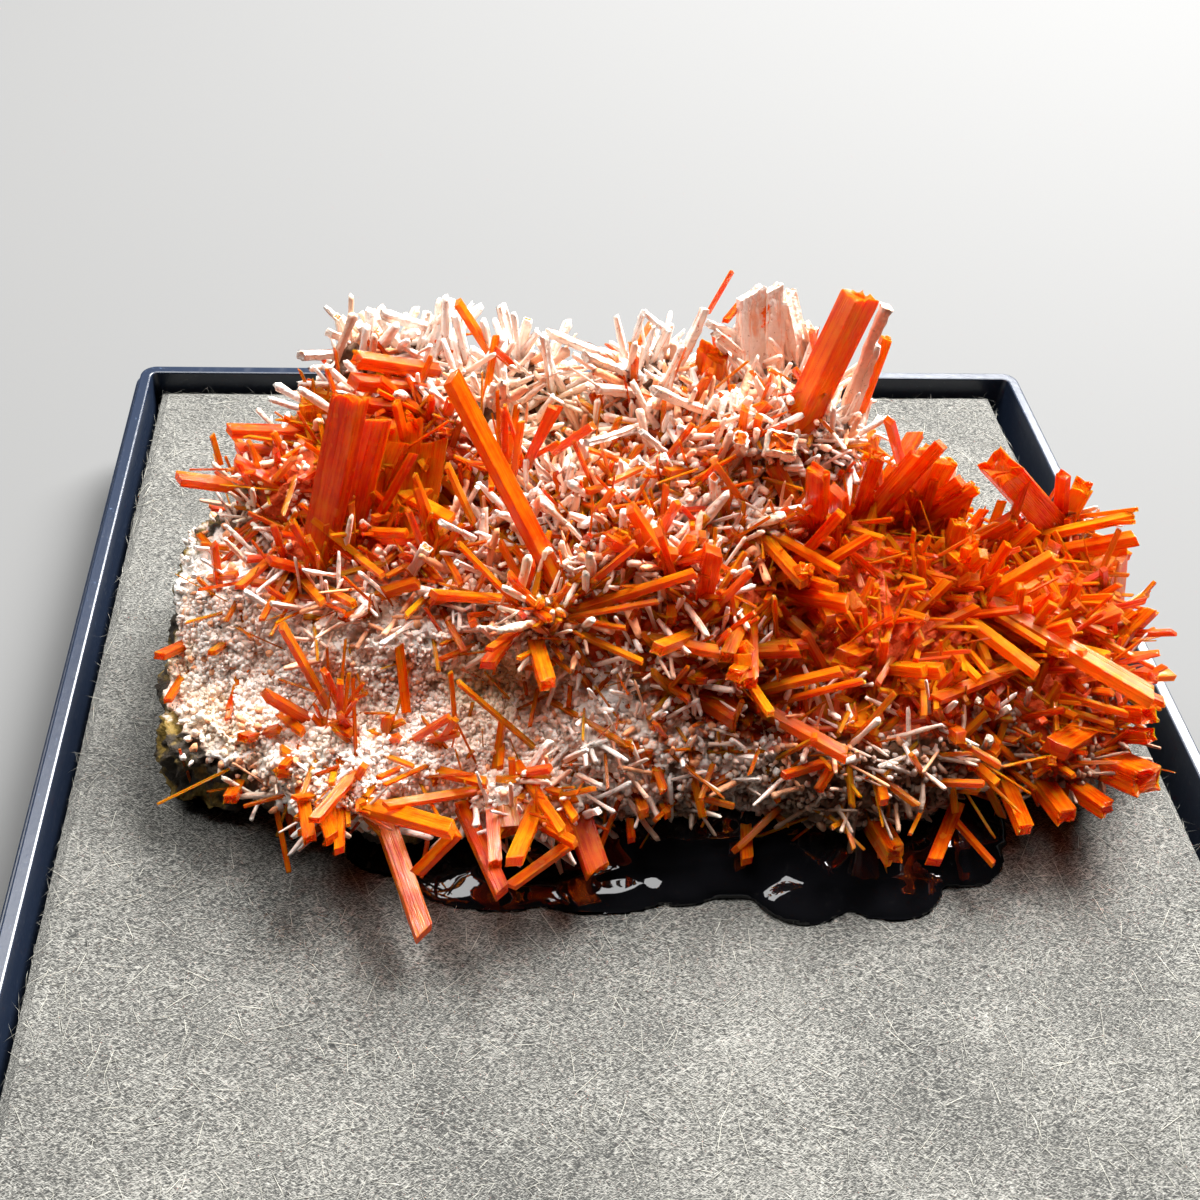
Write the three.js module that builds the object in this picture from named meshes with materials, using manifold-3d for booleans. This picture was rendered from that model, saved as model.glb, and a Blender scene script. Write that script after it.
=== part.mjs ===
// A crocoite specimen: orange-red prisms and white-coated prisms on a gossan matrix, fixed with black
// adhesive to the felt lining of a small plastic display box base.
//
// Millimetres, +Z up, +X to the right, +Y to the back. The origin is the middle of the tray's underside.
// Every crystal is written as [foot, tip, width, flatness]: foot and tip are the ends of its axis, and
// flatness is its thickness as a share of its width.

import * as THREE from "three";
import { mergeVertices } from "three/addons/utils/BufferGeometryUtils.js";
import Module from "manifold-3d";

const wasm = await Module();
wasm.setup();

// ---------------------------------------------------------------- driving dimensions

const GAP = 0.3; // clearance between pieces that grow or lie against each other

const TRAY = {
  side: 76, // outer side of the square base
  height: 9,
  corner: 1.6, // radius of the upright outer corners
  floor: 1.2,
  wall: 1.4, // width of the rim's top
  ledge: 0.5, // width of the step round the rim that locates the lid
  ledgeDrop: 0.9, // how far that step lies under the rim's top
};

const LINING = {
  left: -35.9,
  right: 35.1,
  front: -36,
  back: 36,
  corner: 0.6,
  under: 1.4, // height of its underside
  top: 7.7,
};

const ROCK_FOOT = LINING.top + 1.2; // the adhesive holds the stone this far above the lining

const END_SLOPE = 0.45; // fall of a crystal's end face across its width

const ORANGE = { color: "#e0480f", roughness: 0.25, metalness: 0 };
const COATED = { color: "#e9d3cb", roughness: 0.8, metalness: 0 };

// ---------------------------------------------------------------- the stone

// Each lump: centre, radii, roughness of its skin, fineness of its facets, then the number and the length
// of the small blunt needles that stand on it.
const ROCK_LUMPS = [
  [[-15, 5.5, 12], [12.5, 10.5, 9], 0.7, 1, 9, 3],
  [[-1, 5, 13], [13, 11, 10], 0.7, 1, 14, 4],
  [[13, 3, 12.5], [12, 10.5, 8.5], 0.7, 1, 13, 3.5],
  [[24, 0, 12], [7.5, 8, 5.5], 0.6, 1, 7, 3],
  [[-25, 6.5, 12.5], [5.5, 8.5, 5.5], 0.5, 1, 5, 2],
  [[-22, -1.5, 10.5], [7.5, 5.5, 4.5], 0.6, 1, 4, 2],
  [[-14, -5, 10.5], [8.5, 5.5, 5], 0.5, 1, 4, 3],
  [[-1, -4.5, 11.5], [8.5, 5.5, 5.5], 0.5, 1, 7, 3],
  [[12, -5.5, 11.5], [10.5, 5.5, 5], 0.6, 1, 8, 3],
  [[-13, 13, 18], [9, 5.5, 7.5], 0.6, 1, 9, 4],
  [[4, 11, 18], [10, 6, 8], 0.6, 1, 12, 4],
  [[27, 2.5, 14], [5, 5, 4.5], 0.4, 1, 2, 3],
];

// Small orange crystals that are fused to the stone: foot, tip, width and flatness of each.
const SMALL_CRYSTALS = [
  [[-7.6, 7.1, 24], [-6.2, 6.6, 29], 0.77, 0.8],
  [[-5.8, 8.4, 24], [-3.8, 6, 28], 0.67, 0.8],
  [[0.3, 2.4, 22.5], [0.9, 1.5, 26], 0.52, 0.8],
  [[17, -1.9, 17], [15.1, -8.6, 18], 0.4, 0.8],
  [[17.6, -1.8, 17], [16, -8.1, 18], 0.35, 0.8],
  [[25.6, -2.3, 16.5], [16, -7.3, 18], 0.72, 0.7],
  [[-0.7, -7, 14], [-1.1, -8.8, 15], 0.86, 1],
  [[0.1, -7.2, 12.5], [-0.3, -9.5, 14], 0.85, 1],
  [[-1.3, -8.6, 11.5], [-1.2, -11.4, 13], 0.66, 1],
  [[6.5, -8.5, 12], [6.8, -11, 13.5], 0.33, 1],
  [[13.3, -9.6, 10], [13.7, -14, 11.5], 1.3, 1],
  [[19.1, -9.2, 10], [16, -14.1, 11], 0.87, 0.8],
  [[5.6, -9.3, 9.5], [5.1, -13, 10], 0.7, 1],
  [[-28.5, 2.4, 13.5], [-29.9, -0.7, 15.5], 0.61, 0.8],
  [[-25.7, 1.9, 14.5], [-26.6, -1.4, 16.5], 0.45, 0.8],
  [[-24.6, 0.5, 15.5], [-25.1, 2.3, 17.5], 0.54, 0.8],
  [[31.3, -2.7, 14.5], [31.1, -5, 17], 0.95, 0.8],
];

// ---------------------------------------------------------------- the crystal groups

// A group's base is the massive part in which its crystals are rooted: centre and radii of each lump.
const GROUPS = [
  {
    name: "crocoite_left_blades",
    finish: ORANGE,
    base: [[[-19.5, 5, 17.5], [4, 3.5, 3]]],
    crystals: [
      [[-21, 3.3, 17], [-17.9, 7.3, 29.5], 1.55, 0.55],
      [[-19.3, 5, 17], [-16.1, 7.5, 27], 1.42, 0.5],
      [[-17.6, 4.5, 20], [-14.4, 6.5, 25.5], 0.48, 0.8],
      [[-18.4, 5.5, 20], [-14.8, 1.5, 23.5], 0.54, 0.8],
      [[-22, 7.3, 18], [-24.9, 1.1, 19.5], 0.48, 0.8],
      [[-22.2, 4.4, 18], [-19.7, -1.2, 20.5], 0.49, 0.8],
      [[-19.2, 5.5, 19], [-16.2, -1, 22.5], 0.41, 0.8],
    ],
  },
  {
    name: "crocoite_left_bars",
    finish: ORANGE,
    base: [[[-21, 10.6, 19.4], [4.5, 3.8, 3.6]]],
    crystals: [
      [[-19.5, 12.6, 22], [-26.4, 12.2, 22.5], 0.81, 0.9],
      [[-23.9, 11, 18.5], [-29.7, 10.5, 20], 0.84, 0.8],
      [[-20.8, 7.6, 20], [-25.7, 9.3, 22.5], 0.8, 0.9],
      [[-23.8, 8.5, 17.6], [-24.5, 7.8, 21], 0.46, 0.8],
      [[-21, 13.5, 20], [-20.7, 13.5, 24.5], 2.19, 0.45],
    ],
  },
  {
    name: "crocoite_stacked_blades",
    finish: ORANGE,
    base: [[[-13.3, 13, 23], [3, 3, 3.2]]],
    crystals: [
      [[-13, 14.5, 25.5], [-18.3, 13.1, 27.5], 0.88, 1],
      [[-13, 13.8, 24.5], [-18.4, 12.1, 26.5], 0.92, 1],
      [[-13.3, 12.8, 23.5], [-17.9, 11.1, 25.5], 0.86, 1],
      [[-12.7, 11, 22.5], [-17.1, 9.4, 25], 1.4, 0.9],
    ],
  },
  {
    name: "crocoite_long_prism",
    finish: ORANGE,
    base: [],
    crystals: [
      [[-5.7, -0.5, 20.5], [-12.3, 6.9, 31], 1, 0.95],
    ],
  },
  {
    name: "crocoite_centre_star",
    finish: ORANGE,
    base: [[[-7, -1.6, 18.5], [3.2, 2.6, 2.6]]],
    crystals: [
      [[-7.6, 0.3, 19], [-13.4, -3.5, 23.5], 0.56, 0.9],
      [[-8.1, -1.2, 19], [-10.4, -5.9, 20], 0.85, 0.7],
      [[-7.6, -1.5, 18.5], [-7, -8.3, 21], 0.96, 0.8],
      [[-6.4, -1.2, 19], [1.5, -3.4, 25], 0.58, 0.8],
      [[-5.7, -0.7, 19.5], [-1.9, -2.2, 26], 0.45, 0.8],
      [[-6.1, -1.6, 19], [-1.5, -6.6, 21], 0.37, 0.8],
      [[-6.1, -0.9, 18.5], [3.2, -5.5, 20.5], 0.71, 0.8],
      [[-7.1, -1.9, 19], [-11.9, -0.4, 24.5], 0.35, 0.8],
    ],
  },
  {
    name: "crocoite_back_prisms",
    finish: ORANGE,
    base: [[[11.5, 10.2, 22.5], [4, 2.8, 3]]],
    crystals: [
      [[9, 9.5, 22], [12, 10.1, 35], 1.99, 0.85],
      [[14.1, 11.7, 22.5], [14.9, 11.9, 30.5], 0.71, 0.8],
      [[8.6, 9.1, 23.5], [7.1, 3.8, 28.5], 1.99, 0.75],
    ],
  },
  {
    name: "crocoite_red_blade",
    finish: ORANGE,
    base: [],
    crystals: [
      [[4.5, 13.5, 24], [4.2, 12.8, 29], 1.56, 0.7],
    ],
  },
  {
    name: "crocoite_right_blades",
    finish: ORANGE,
    base: [[[12, 4.8, 19.5], [3.4, 2.8, 2.6]], [[7.5, 3.4, 21], [2.6, 1.8, 1.8]]],
    crystals: [
      [[10.9, 4.4, 19.5], [9, 2.1, 28], 1.29, 0.6],
      [[12.5, 4.6, 19.5], [10.9, 3.1, 25.5], 1.15, 0.6],
      [[13.8, 6.3, 19.5], [13.2, 4.1, 27.5], 0.94, 0.8],
      [[6.5, 3.3, 22], [7.9, -3.5, 24], 0.74, 0.8],
      [[6.9, 2.7, 22.5], [10.2, -2.5, 24], 0.54, 0.8],
    ],
  },
  {
    name: "crocoite_right_spray",
    finish: ORANGE,
    base: [[[17.5, 7, 19], [3.4, 3, 2.8]]],
    crystals: [
      [[14.6, 6.5, 19], [16.9, 3.9, 28.5], 1, 0.8],
      [[18, 7.5, 18.5], [18.3, 5.8, 26], 1.84, 0.5],
      [[17.9, 7.4, 19], [19.6, 5.2, 24.5], 1.12, 0.8],
      [[17.7, 8.9, 21], [13.8, 5.4, 29], 0.56, 0.8],
      [[18.9, 6, 19], [19, -0.3, 22], 0.7, 0.8],
    ],
  },
  {
    name: "crocoite_glassy_prism",
    finish: ORANGE,
    base: [[[29.2, 9, 16.3], [2.6, 2, 2]]],
    crystals: [
      [[28.6, 8.8, 17.5], [21.9, 6, 25], 2.2, 0.9],
      [[29.7, 9.3, 17], [27.4, 7.5, 23], 0.82, 0.8],
    ],
  },
  {
    name: "crocoite_right_bundle",
    finish: ORANGE,
    base: [[[28.5, 4.6, 14.2], [4, 4.2, 3.2]], [[26, 7, 15.8], [2, 2, 1.8]]],
    crystals: [
      [[31.6, 2.8, 12.5], [30.1, 4.2, 19.5], 3.16, 0.8],
      [[25.6, 7.7, 16.5], [31.3, 4, 22.5], 0.67, 0.8],
      [[26, 6.6, 16], [31.8, 3.5, 21], 0.91, 0.9],
    ],
  },
  {
    name: "crocoite_right_bars",
    finish: ORANGE,
    base: [[[18.8, 1, 17.5], [3.2, 2.4, 2.2]]],
    crystals: [
      [[19.6, 2, 18.5], [29.1, -8.4, 19], 1.09, 0.9],
      [[19.6, 2.2, 18], [23.5, -4.5, 19.5], 0.46, 0.8],
      [[18.4, 1.4, 18], [22, -7.1, 20], 0.75, 0.9],
      [[17.1, -0.3, 17.5], [18.8, -6.7, 19], 0.47, 0.8],
    ],
  },
  {
    name: "crocoite_right_end",
    finish: ORANGE,
    base: [[[26, -6.4, 11.8], [4.6, 3, 2.8]]],
    crystals: [
      [[28.9, -5.2, 13], [23.6, -9.3, 15.5], 1.51, 0.7],
      [[28.6, -6.5, 11], [29.2, -11.5, 15], 2.12, 0.8],
      [[25.9, -8, 11], [27.1, -12.1, 13], 1.16, 0.8],
      [[24.2, -7.4, 11], [24.3, -12.6, 13], 1.31, 0.8],
      [[22.2, -7.3, 11], [21.4, -13.5, 13], 0.99, 0.8],
    ],
  },
  {
    name: "crocoite_centre_bars",
    finish: ORANGE,
    base: [
      [[3.6, -3, 16.6], [4, 3.4, 2.8]],
      [[5.6, 0.2, 18.6], [1.8, 1.8, 2]],
      [[0.6, 1, 17.5], [2.6, 2.4, 2]],
    ],
    crystals: [
      [[5.7, -0.5, 19.5], [4.5, -7.7, 20], 1.1, 0.8],
      [[0.5, -2.5, 16], [4.5, -7.7, 17], 1.38, 0.6],
      [[3.3, -3.6, 16], [10.4, -10.6, 17], 0.75, 0.9],
      [[4.8, -5, 16], [10.1, -7, 20.5], 0.58, 0.8],
      [[5.7, -5.6, 15.5], [11.5, -7.3, 20], 0.38, 0.8],
      [[2.7, -0.9, 17.5], [2.6, -1.9, 25.5], 1.11, 0.7],
      [[-0.2, 2.3, 17.5], [0.3, -1.5, 25], 1.05, 0.5],
    ],
  },
  {
    name: "crocoite_centre_right_bars",
    finish: ORANGE,
    base: [[[14.4, -1.6, 16.4], [2.4, 3.2, 2]]],
    crystals: [
      [[15.5, -0.9, 17], [10.7, -5.2, 19.5], 1.37, 0.6],
      [[14.1, -4.1, 15.5], [11.3, -8.4, 16.5], 1.13, 0.6],
      [[15, 0.7, 17.5], [9.9, -3.3, 20.5], 0.5, 0.8],
      [[14.6, -3.7, 15], [13.1, -7.1, 15.5], 0.44, 0.8],
    ],
  },
  {
    name: "crocoite_ledge_spray",
    finish: ORANGE,
    base: [[[-18, -5, 12.6], [5, 2.5, 2.4]]],
    crystals: [
      [[-19.3, -4, 13], [-21.9, -3.3, 21], 0.5, 0.8],
      [[-20.2, -4.3, 13], [-23, -5.5, 17.5], 0.73, 0.8],
      [[-21.2, -3.7, 13.5], [-18.1, -6.9, 15.5], 0.5, 0.8],
      [[-17.2, -5.8, 12.5], [-18.8, -6.3, 16.5], 0.53, 0.8],
      [[-15.3, -6.3, 13.5], [-12.4, -7.8, 18], 0.48, 0.8],
    ],
  },
  {
    name: "crocoite_front_left_spray",
    finish: ORANGE,
    base: [[[-18, -8.2, 11.8], [4.2, 2.4, 2.4]]],
    crystals: [
      [[-19.4, -7.4, 12], [-22.6, -8.4, 14], 0.5, 0.8],
      [[-21.3, -7.7, 12.5], [-20.3, -12.7, 13], 0.78, 0.8],
      [[-17, -6.9, 13.5], [-20.1, -12.3, 14.5], 0.62, 0.8],
      [[-20, -9.4, 12.5], [-19, -12.9, 13.5], 0.84, 0.8],
      [[-18.5, -9.1, 12], [-12.2, -14.5, 16.5], 1.02, 0.7],
      [[-17.2, -7.6, 12], [-13.9, -17.5, 10.5], 1.13, 0.9],
      [[-15.1, -7.4, 13.2], [-10.3, -10.7, 15.5], 0.59, 0.7],
    ],
  },
  {
    name: "crocoite_front_spray",
    finish: ORANGE,
    base: [[[-8.2, -9.5, 12.2], [4.2, 2.2, 2.4]]],
    crystals: [
      [[-11.8, -10, 12.5], [-9.6, -16.5, 13], 0.92, 0.9],
      [[-7.3, -10.5, 13.5], [-9.1, -15.8, 15], 0.94, 0.8],
      [[-8.6, -8.2, 14], [-6.2, -13.9, 15], 0.6, 0.8],
      [[-6.6, -9.1, 13.5], [-5.4, -12.7, 14.5], 0.49, 0.8],
      [[-5.1, -10.2, 12], [-4, -14.2, 11], 1.48, 0.7],
      [[-6.5, -10, 12.5], [-5.7, -13.1, 13.5], 0.6, 0.8],
    ],
  },
  {
    name: "coated_left_sprigs",
    finish: COATED,
    base: [[[-15.8, 17, 24], [4.6, 2.4, 2.2]]],
    crystals: [
      [[-17.8, 18, 24.5], [-21.6, 14.6, 26.5], 0.6, 1],
      [[-18.6, 18.5, 24], [-19.4, 17.6, 27.5], 0.44, 1],
      [[-17.1, 17.4, 24.5], [-17.9, 17, 27.5], 0.61, 1],
      [[-15.1, 16.8, 24.5], [-16.7, 17.1, 28], 0.71, 1],
      [[-13.5, 16.1, 25], [-12.3, 18.4, 28.5], 0.9, 1],
      [[-14.6, 17.2, 25], [-13.6, 17.6, 28], 0.45, 1],
    ],
  },
  {
    name: "coated_back_sprigs",
    finish: COATED,
    base: [[[-7, 15, 23.8], [2.8, 2.4, 2.4]]],
    crystals: [
      [[-7.8, 15.6, 24.5], [-8.9, 17.8, 28.5], 0.66, 1],
      [[-8, 16.3, 24.5], [-7.3, 16.2, 28.5], 0.6, 1],
      [[-5.6, 13.5, 24], [-6.5, 12.4, 30], 0.5, 1],
    ],
  },
  {
    name: "coated_back_blades",
    finish: COATED,
    base: [[[0.8, 13.8, 24.8], [3.4, 2.6, 2.4]], [[4, 11, 24.6], [2, 2, 1.8]]],
    crystals: [
      [[-0.6, 15.2, 26], [-6.1, 14.7, 28.5], 0.71, 0.7],
      [[1.2, 13.7, 25.5], [-4, 12, 28.5], 0.75, 0.8],
      [[0.8, 14.5, 26.5], [1.3, 14.1, 29.5], 0.56, 0.9],
      [[4.8, 10.2, 25.5], [-0, 8.7, 28.5], 0.62, 0.9],
      [[2.1, 13.7, 25.6], [3.6, 13.9, 31], 0.65, 0.8],
    ],
  },
  {
    name: "coated_upright_blades",
    finish: COATED,
    base: [[[8.5, 13.4, 24.5], [4.2, 2.2, 2.6]]],
    crystals: [
      [[7.4, 13.2, 25], [6.7, 15.4, 31.5], 1.26, 0.6],
      [[8.6, 13.2, 25], [7.8, 15.7, 31.5], 0.82, 0.7],
      [[11.1, 14.2, 25], [9, 15.6, 31], 0.91, 0.7],
    ],
  },
];

// ---------------------------------------------------------------- the adhesive

// Flattened lobes of the blob: centre and radii.
const ADHESIVE_LOBES = [
  [[5, -4, LINING.top], [16, 10, 3.8]],
  [[11.5, -12, LINING.top], [7.5, 4.6, 2.1]],
  [[4.5, -11.5, LINING.top], [6, 3.6, 2.4]],
  [[18, -9, LINING.top], [5, 4.6, 2.4]],
  [[-5, -9.5, LINING.top], [5.5, 3.2, 1.8]],
  [[-13, 2, LINING.top], [10, 6.5, 2.6]],
];

// ---------------------------------------------------------------- solids

function solidOf(geometry) {
  const bare = geometry.index ? geometry.toNonIndexed() : geometry.clone();
  bare.deleteAttribute("normal");
  bare.deleteAttribute("uv");
  const merged = mergeVertices(bare, 1e-4);
  return new wasm.Manifold(new wasm.Mesh({
    numProp: 3,
    vertProperties: new Float32Array(merged.attributes.position.array),
    triVerts: new Uint32Array(merged.index.array),
  }));
}

function joined(solids) {
  return solids.reduce((whole, next) => whole.add(next));
}

// The one connected body that is left after a cut: chips that lost their footing are dropped.
function largestPart(solid) {
  const parts = solid.decompose();
  return parts.reduce((best, part) => (part.volume() > best.volume() ? part : best));
}

function meshOf(name, solid, finish) {
  const { vertProperties, triVerts } = solid.getMesh();
  const geometry = new THREE.BufferGeometry();
  geometry.setAttribute("position", new THREE.BufferAttribute(vertProperties, 3));
  geometry.setIndex(new THREE.BufferAttribute(triVerts, 1));
  geometry.computeVertexNormals();
  const mesh = new THREE.Mesh(geometry, new THREE.MeshStandardMaterial(finish));
  mesh.name = name;
  return mesh;
}

// An upright slab with rounded corners, between two heights.
function slab({ left, right, front, back, corner }, bottom, top) {
  const shape = new THREE.Shape();
  shape.moveTo(left + corner, front);
  shape.lineTo(right - corner, front);
  shape.absarc(right - corner, front + corner, corner, -Math.PI / 2, 0);
  shape.lineTo(right, back - corner);
  shape.absarc(right - corner, back - corner, corner, 0, Math.PI / 2);
  shape.lineTo(left + corner, back);
  shape.absarc(left + corner, back - corner, corner, Math.PI / 2, Math.PI);
  shape.lineTo(left, front + corner);
  shape.absarc(left + corner, front + corner, corner, Math.PI, Math.PI * 1.5);
  const options = { depth: top - bottom, bevelEnabled: false, curveSegments: 2 };
  return solidOf(new THREE.ExtrudeGeometry(shape, options).translate(0, 0, bottom));
}

function square(side, corner) {
  return { left: -side / 2, right: side / 2, front: -side / 2, back: side / 2, corner };
}

// A lump of stone: an ellipsoid with an uneven skin of low swells and pits.
function lump([x, y, z], radii, rough, detail, margin) {
  const geometry = new THREE.IcosahedronGeometry(1, detail);
  const points = geometry.attributes.position;
  const p = new THREE.Vector3();
  for (let i = 0; i < points.count; i += 1) {
    p.fromBufferAttribute(points, i);
    const swell = Math.sin(p.x * 5.1 + x) * Math.cos(p.y * 4.3 + y) + Math.sin(p.z * 6.7 + x - y) * 0.6;
    const push = swell * rough + margin;
    points.setXYZ(
      i,
      x + p.x * (radii[0] + push),
      y + p.y * (radii[1] + push),
      z + p.z * (radii[2] + push),
    );
  }
  return solidOf(geometry);
}

// A turn that lays a shape's length along an axis and its width level, so a blade's broad face looks up.
function turnedAlong(axis) {
  const across = new THREE.Vector3(0, 0, 1).cross(axis);
  if (across.length() < 0.15) {
    across.set(1, 0, 0);
  }
  across.normalize();
  const upward = axis.clone().cross(across).normalize();
  across.crossVectors(upward, axis);
  return new THREE.Matrix4().makeBasis(across, upward, axis);
}

// A four-sided prism from foot to tip, with an oblique end face like a crocoite termination.
function crystal([foot, tip, wide, flat], margin) {
  const start = new THREE.Vector3(...foot);
  const axis = new THREE.Vector3(...tip).sub(start);
  const length = axis.length() + 2 * margin;
  const geometry = new THREE.BoxGeometry(wide + 2 * margin, wide * flat + 2 * margin, length);
  geometry.translate(0, 0, length / 2 - margin);
  const points = geometry.attributes.position;
  for (let i = 0; i < points.count; i += 1) {
    if (points.getZ(i) > length / 2) {
      points.setZ(i, points.getZ(i) - END_SLOPE * (points.getX(i) + wide / 2 + margin));
    }
  }
  geometry.applyMatrix4(turnedAlong(axis.normalize()));
  return solidOf(geometry.translate(start.x, start.y, start.z));
}

// A small three-sided needle, a little narrower at its blunt tip.
function needle([foot, tip, wide], margin) {
  const start = new THREE.Vector3(...foot);
  const axis = new THREE.Vector3(...tip).sub(start);
  const length = axis.length() + margin;
  const side = wide / 2 + margin;
  const section = new THREE.Shape([
    new THREE.Vector2(-side, -side * 0.8),
    new THREE.Vector2(side, -side * 0.8),
    new THREE.Vector2(0, side),
  ]);
  const geometry = new THREE.ExtrudeGeometry(section, { depth: length, bevelEnabled: false });
  geometry.applyMatrix4(turnedAlong(axis.normalize()));
  return solidOf(geometry.translate(start.x, start.y, start.z));
}

// The needles that bristle from a lump, spaced by the golden angle over its upper skin.
function needlesOn([[x, y, z], radii, , , count, reach], lumpIndex) {
  const goldenAngle = Math.PI * (3 - Math.sqrt(5));
  const needles = [];
  for (let i = 0; i < count; i += 1) {
    const rise = -0.1 + (1.05 * (i + 0.5)) / count;
    const turn = i * goldenAngle + lumpIndex;
    const level = Math.sqrt(1 - rise * rise);
    const out = new THREE.Vector3(Math.cos(turn) * level, Math.sin(turn) * level, rise);
    const foot = [x + out.x * (radii[0] - 1), y + out.y * (radii[1] - 1), z + out.z * (radii[2] - 1)];
    const lean = new THREE.Vector3(Math.sin(i * 2.3), Math.cos(i * 3.1), Math.sin(i * 1.7));
    const run = out.clone().addScaledVector(lean, 0.5).setLength(reach + (i % 3) * 0.5);
    needles.push([foot, [foot[0] + run.x, foot[1] + run.y, foot[2] + run.z], 1 + (i % 2) * 0.3]);
  }
  return needles;
}

// ---------------------------------------------------------------- sub-parts

function makeTray() {
  const { side, height, corner, floor, wall, ledge, ledgeDrop } = TRAY;
  const body = slab(square(side, corner), 0, height - ledgeDrop);
  const rim = slab(square(side - 2 * ledge, corner - ledge), floor, height);
  const hollow = slab(square(side - 2 * wall, corner - ledge), floor, height + 1);
  return body.add(rim).subtract(hollow);
}

function makeGroup({ base, crystals }, margin) {
  const lumps = base.map(([centre, radii]) => lump(centre, radii, 0.2, 0, margin));
  return joined([...lumps, ...crystals.map((each) => crystal(each, margin))]);
}

function makeBareRock(margin) {
  const lumps = ROCK_LUMPS.map(([centre, radii, rough, fineness]) => (
    lump(centre, radii, rough, fineness, margin)
  ));
  const belowFoot = slab(square(TRAY.side, 1), -20, ROCK_FOOT - margin);
  return joined(lumps).subtract(belowFoot);
}

// The rock with the needles and small crystals that are fused to it.
function makeBristlingRock(margin) {
  const needles = ROCK_LUMPS.flatMap(needlesOn).map((each) => needle(each, margin));
  const crystals = SMALL_CRYSTALS.map((each) => crystal(each, margin));
  return joined([makeBareRock(margin), ...needles, ...crystals]);
}

function makeAdhesive(stoneWithGap) {
  const lobes = ADHESIVE_LOBES.map(([[x, y, z], [rx, ry, rz]]) => {
    const lobe = new THREE.SphereGeometry(1, 12, 6).rotateX(Math.PI / 2).scale(rx, ry, rz);
    return solidOf(lobe.translate(x, y, z));
  });
  const belowLining = slab(square(TRAY.side, 1), -20, LINING.top + 0.05);
  return largestPart(joined(lobes).subtract(belowLining).subtract(stoneWithGap));
}

// ---------------------------------------------------------------- assembly

const model = new THREE.Group();

model.add(meshOf("tray", makeTray(), { color: "#1f2a3c", roughness: 0.4, metalness: 0 }));
model.add(meshOf(
  "lining_pad",
  slab(LINING, LINING.under, LINING.top),
  { color: "#8d897c", roughness: 0.95, metalness: 0 },
));

let groupsWithGap = null;
for (const group of GROUPS) {
  let solid = makeGroup(group, 0);
  if (groupsWithGap) {
    solid = largestPart(solid.subtract(groupsWithGap));
  }
  const grown = makeGroup(group, GAP);
  groupsWithGap = groupsWithGap ? groupsWithGap.add(grown) : grown;
  model.add(meshOf(group.name, solid, group.finish));
}

const matrix = largestPart(makeBristlingRock(0).subtract(groupsWithGap));
model.add(meshOf("matrix", matrix, { color: "#a89683", roughness: 0.95, metalness: 0 }));

const adhesive = makeAdhesive(makeBristlingRock(GAP).add(groupsWithGap));
model.add(meshOf("adhesive", adhesive, { color: "#0b0c0e", roughness: 0.08, metalness: 0 }));

export default model;
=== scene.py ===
"""A crocoite specimen fixed in its box base: its crystals, stone, adhesive, lining and tray.

Every size is in millimetres and is turned to metres where a mesh is made. The crystals stand where the solids
of their groups stand, and the needles, grains and fibres grow on the surfaces of the stone and the lining.
"""

from __future__ import annotations

import logging
import math
from collections.abc import Sequence
from dataclasses import dataclass, field
from enum import Enum
from functools import partial

import bmesh
import bpy
import numpy as np
from mathutils import Matrix, Vector, noise

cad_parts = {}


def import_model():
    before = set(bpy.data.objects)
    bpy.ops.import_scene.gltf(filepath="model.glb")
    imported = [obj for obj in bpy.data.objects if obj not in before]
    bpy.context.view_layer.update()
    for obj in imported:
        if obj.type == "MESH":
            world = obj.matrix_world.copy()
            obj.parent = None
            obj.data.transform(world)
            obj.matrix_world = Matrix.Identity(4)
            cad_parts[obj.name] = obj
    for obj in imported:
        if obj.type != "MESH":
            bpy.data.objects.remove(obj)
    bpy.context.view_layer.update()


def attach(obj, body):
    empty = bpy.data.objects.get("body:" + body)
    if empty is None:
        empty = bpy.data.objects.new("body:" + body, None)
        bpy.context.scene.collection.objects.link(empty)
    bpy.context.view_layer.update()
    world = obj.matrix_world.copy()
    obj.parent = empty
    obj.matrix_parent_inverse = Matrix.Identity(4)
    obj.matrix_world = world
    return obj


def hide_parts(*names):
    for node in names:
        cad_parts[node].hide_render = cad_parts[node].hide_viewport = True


LOG = logging.getLogger("crocoite")
MM = 0.001
FIRST_GROUP_SEED = 100
SPRAY_SEED = 11
SHAPES_SEED = 5
BALL_DETAIL = 4
LEAST_SLANT = 0.15

Point = tuple[float, float, float]
Socket = bpy.types.NodeSocket


class Slot(Enum):
    """The record's material slots."""

    TRAY = "tray_plastic"
    LINING = "lining_felt"
    ADHESIVE = "adhesive_black"
    GOSSAN = "gossan"
    CROCOITE = "crocoite"
    COATED = "coated_crystal"


class End(Enum):
    """How a crystal ends at its tip."""

    OBLIQUE = "one clean slanted face"
    BROKEN = "a splintered, crumbly break"
    STEPPED = "strips of unequal length"


# ---------------------------------------------------------------- meshes


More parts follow.
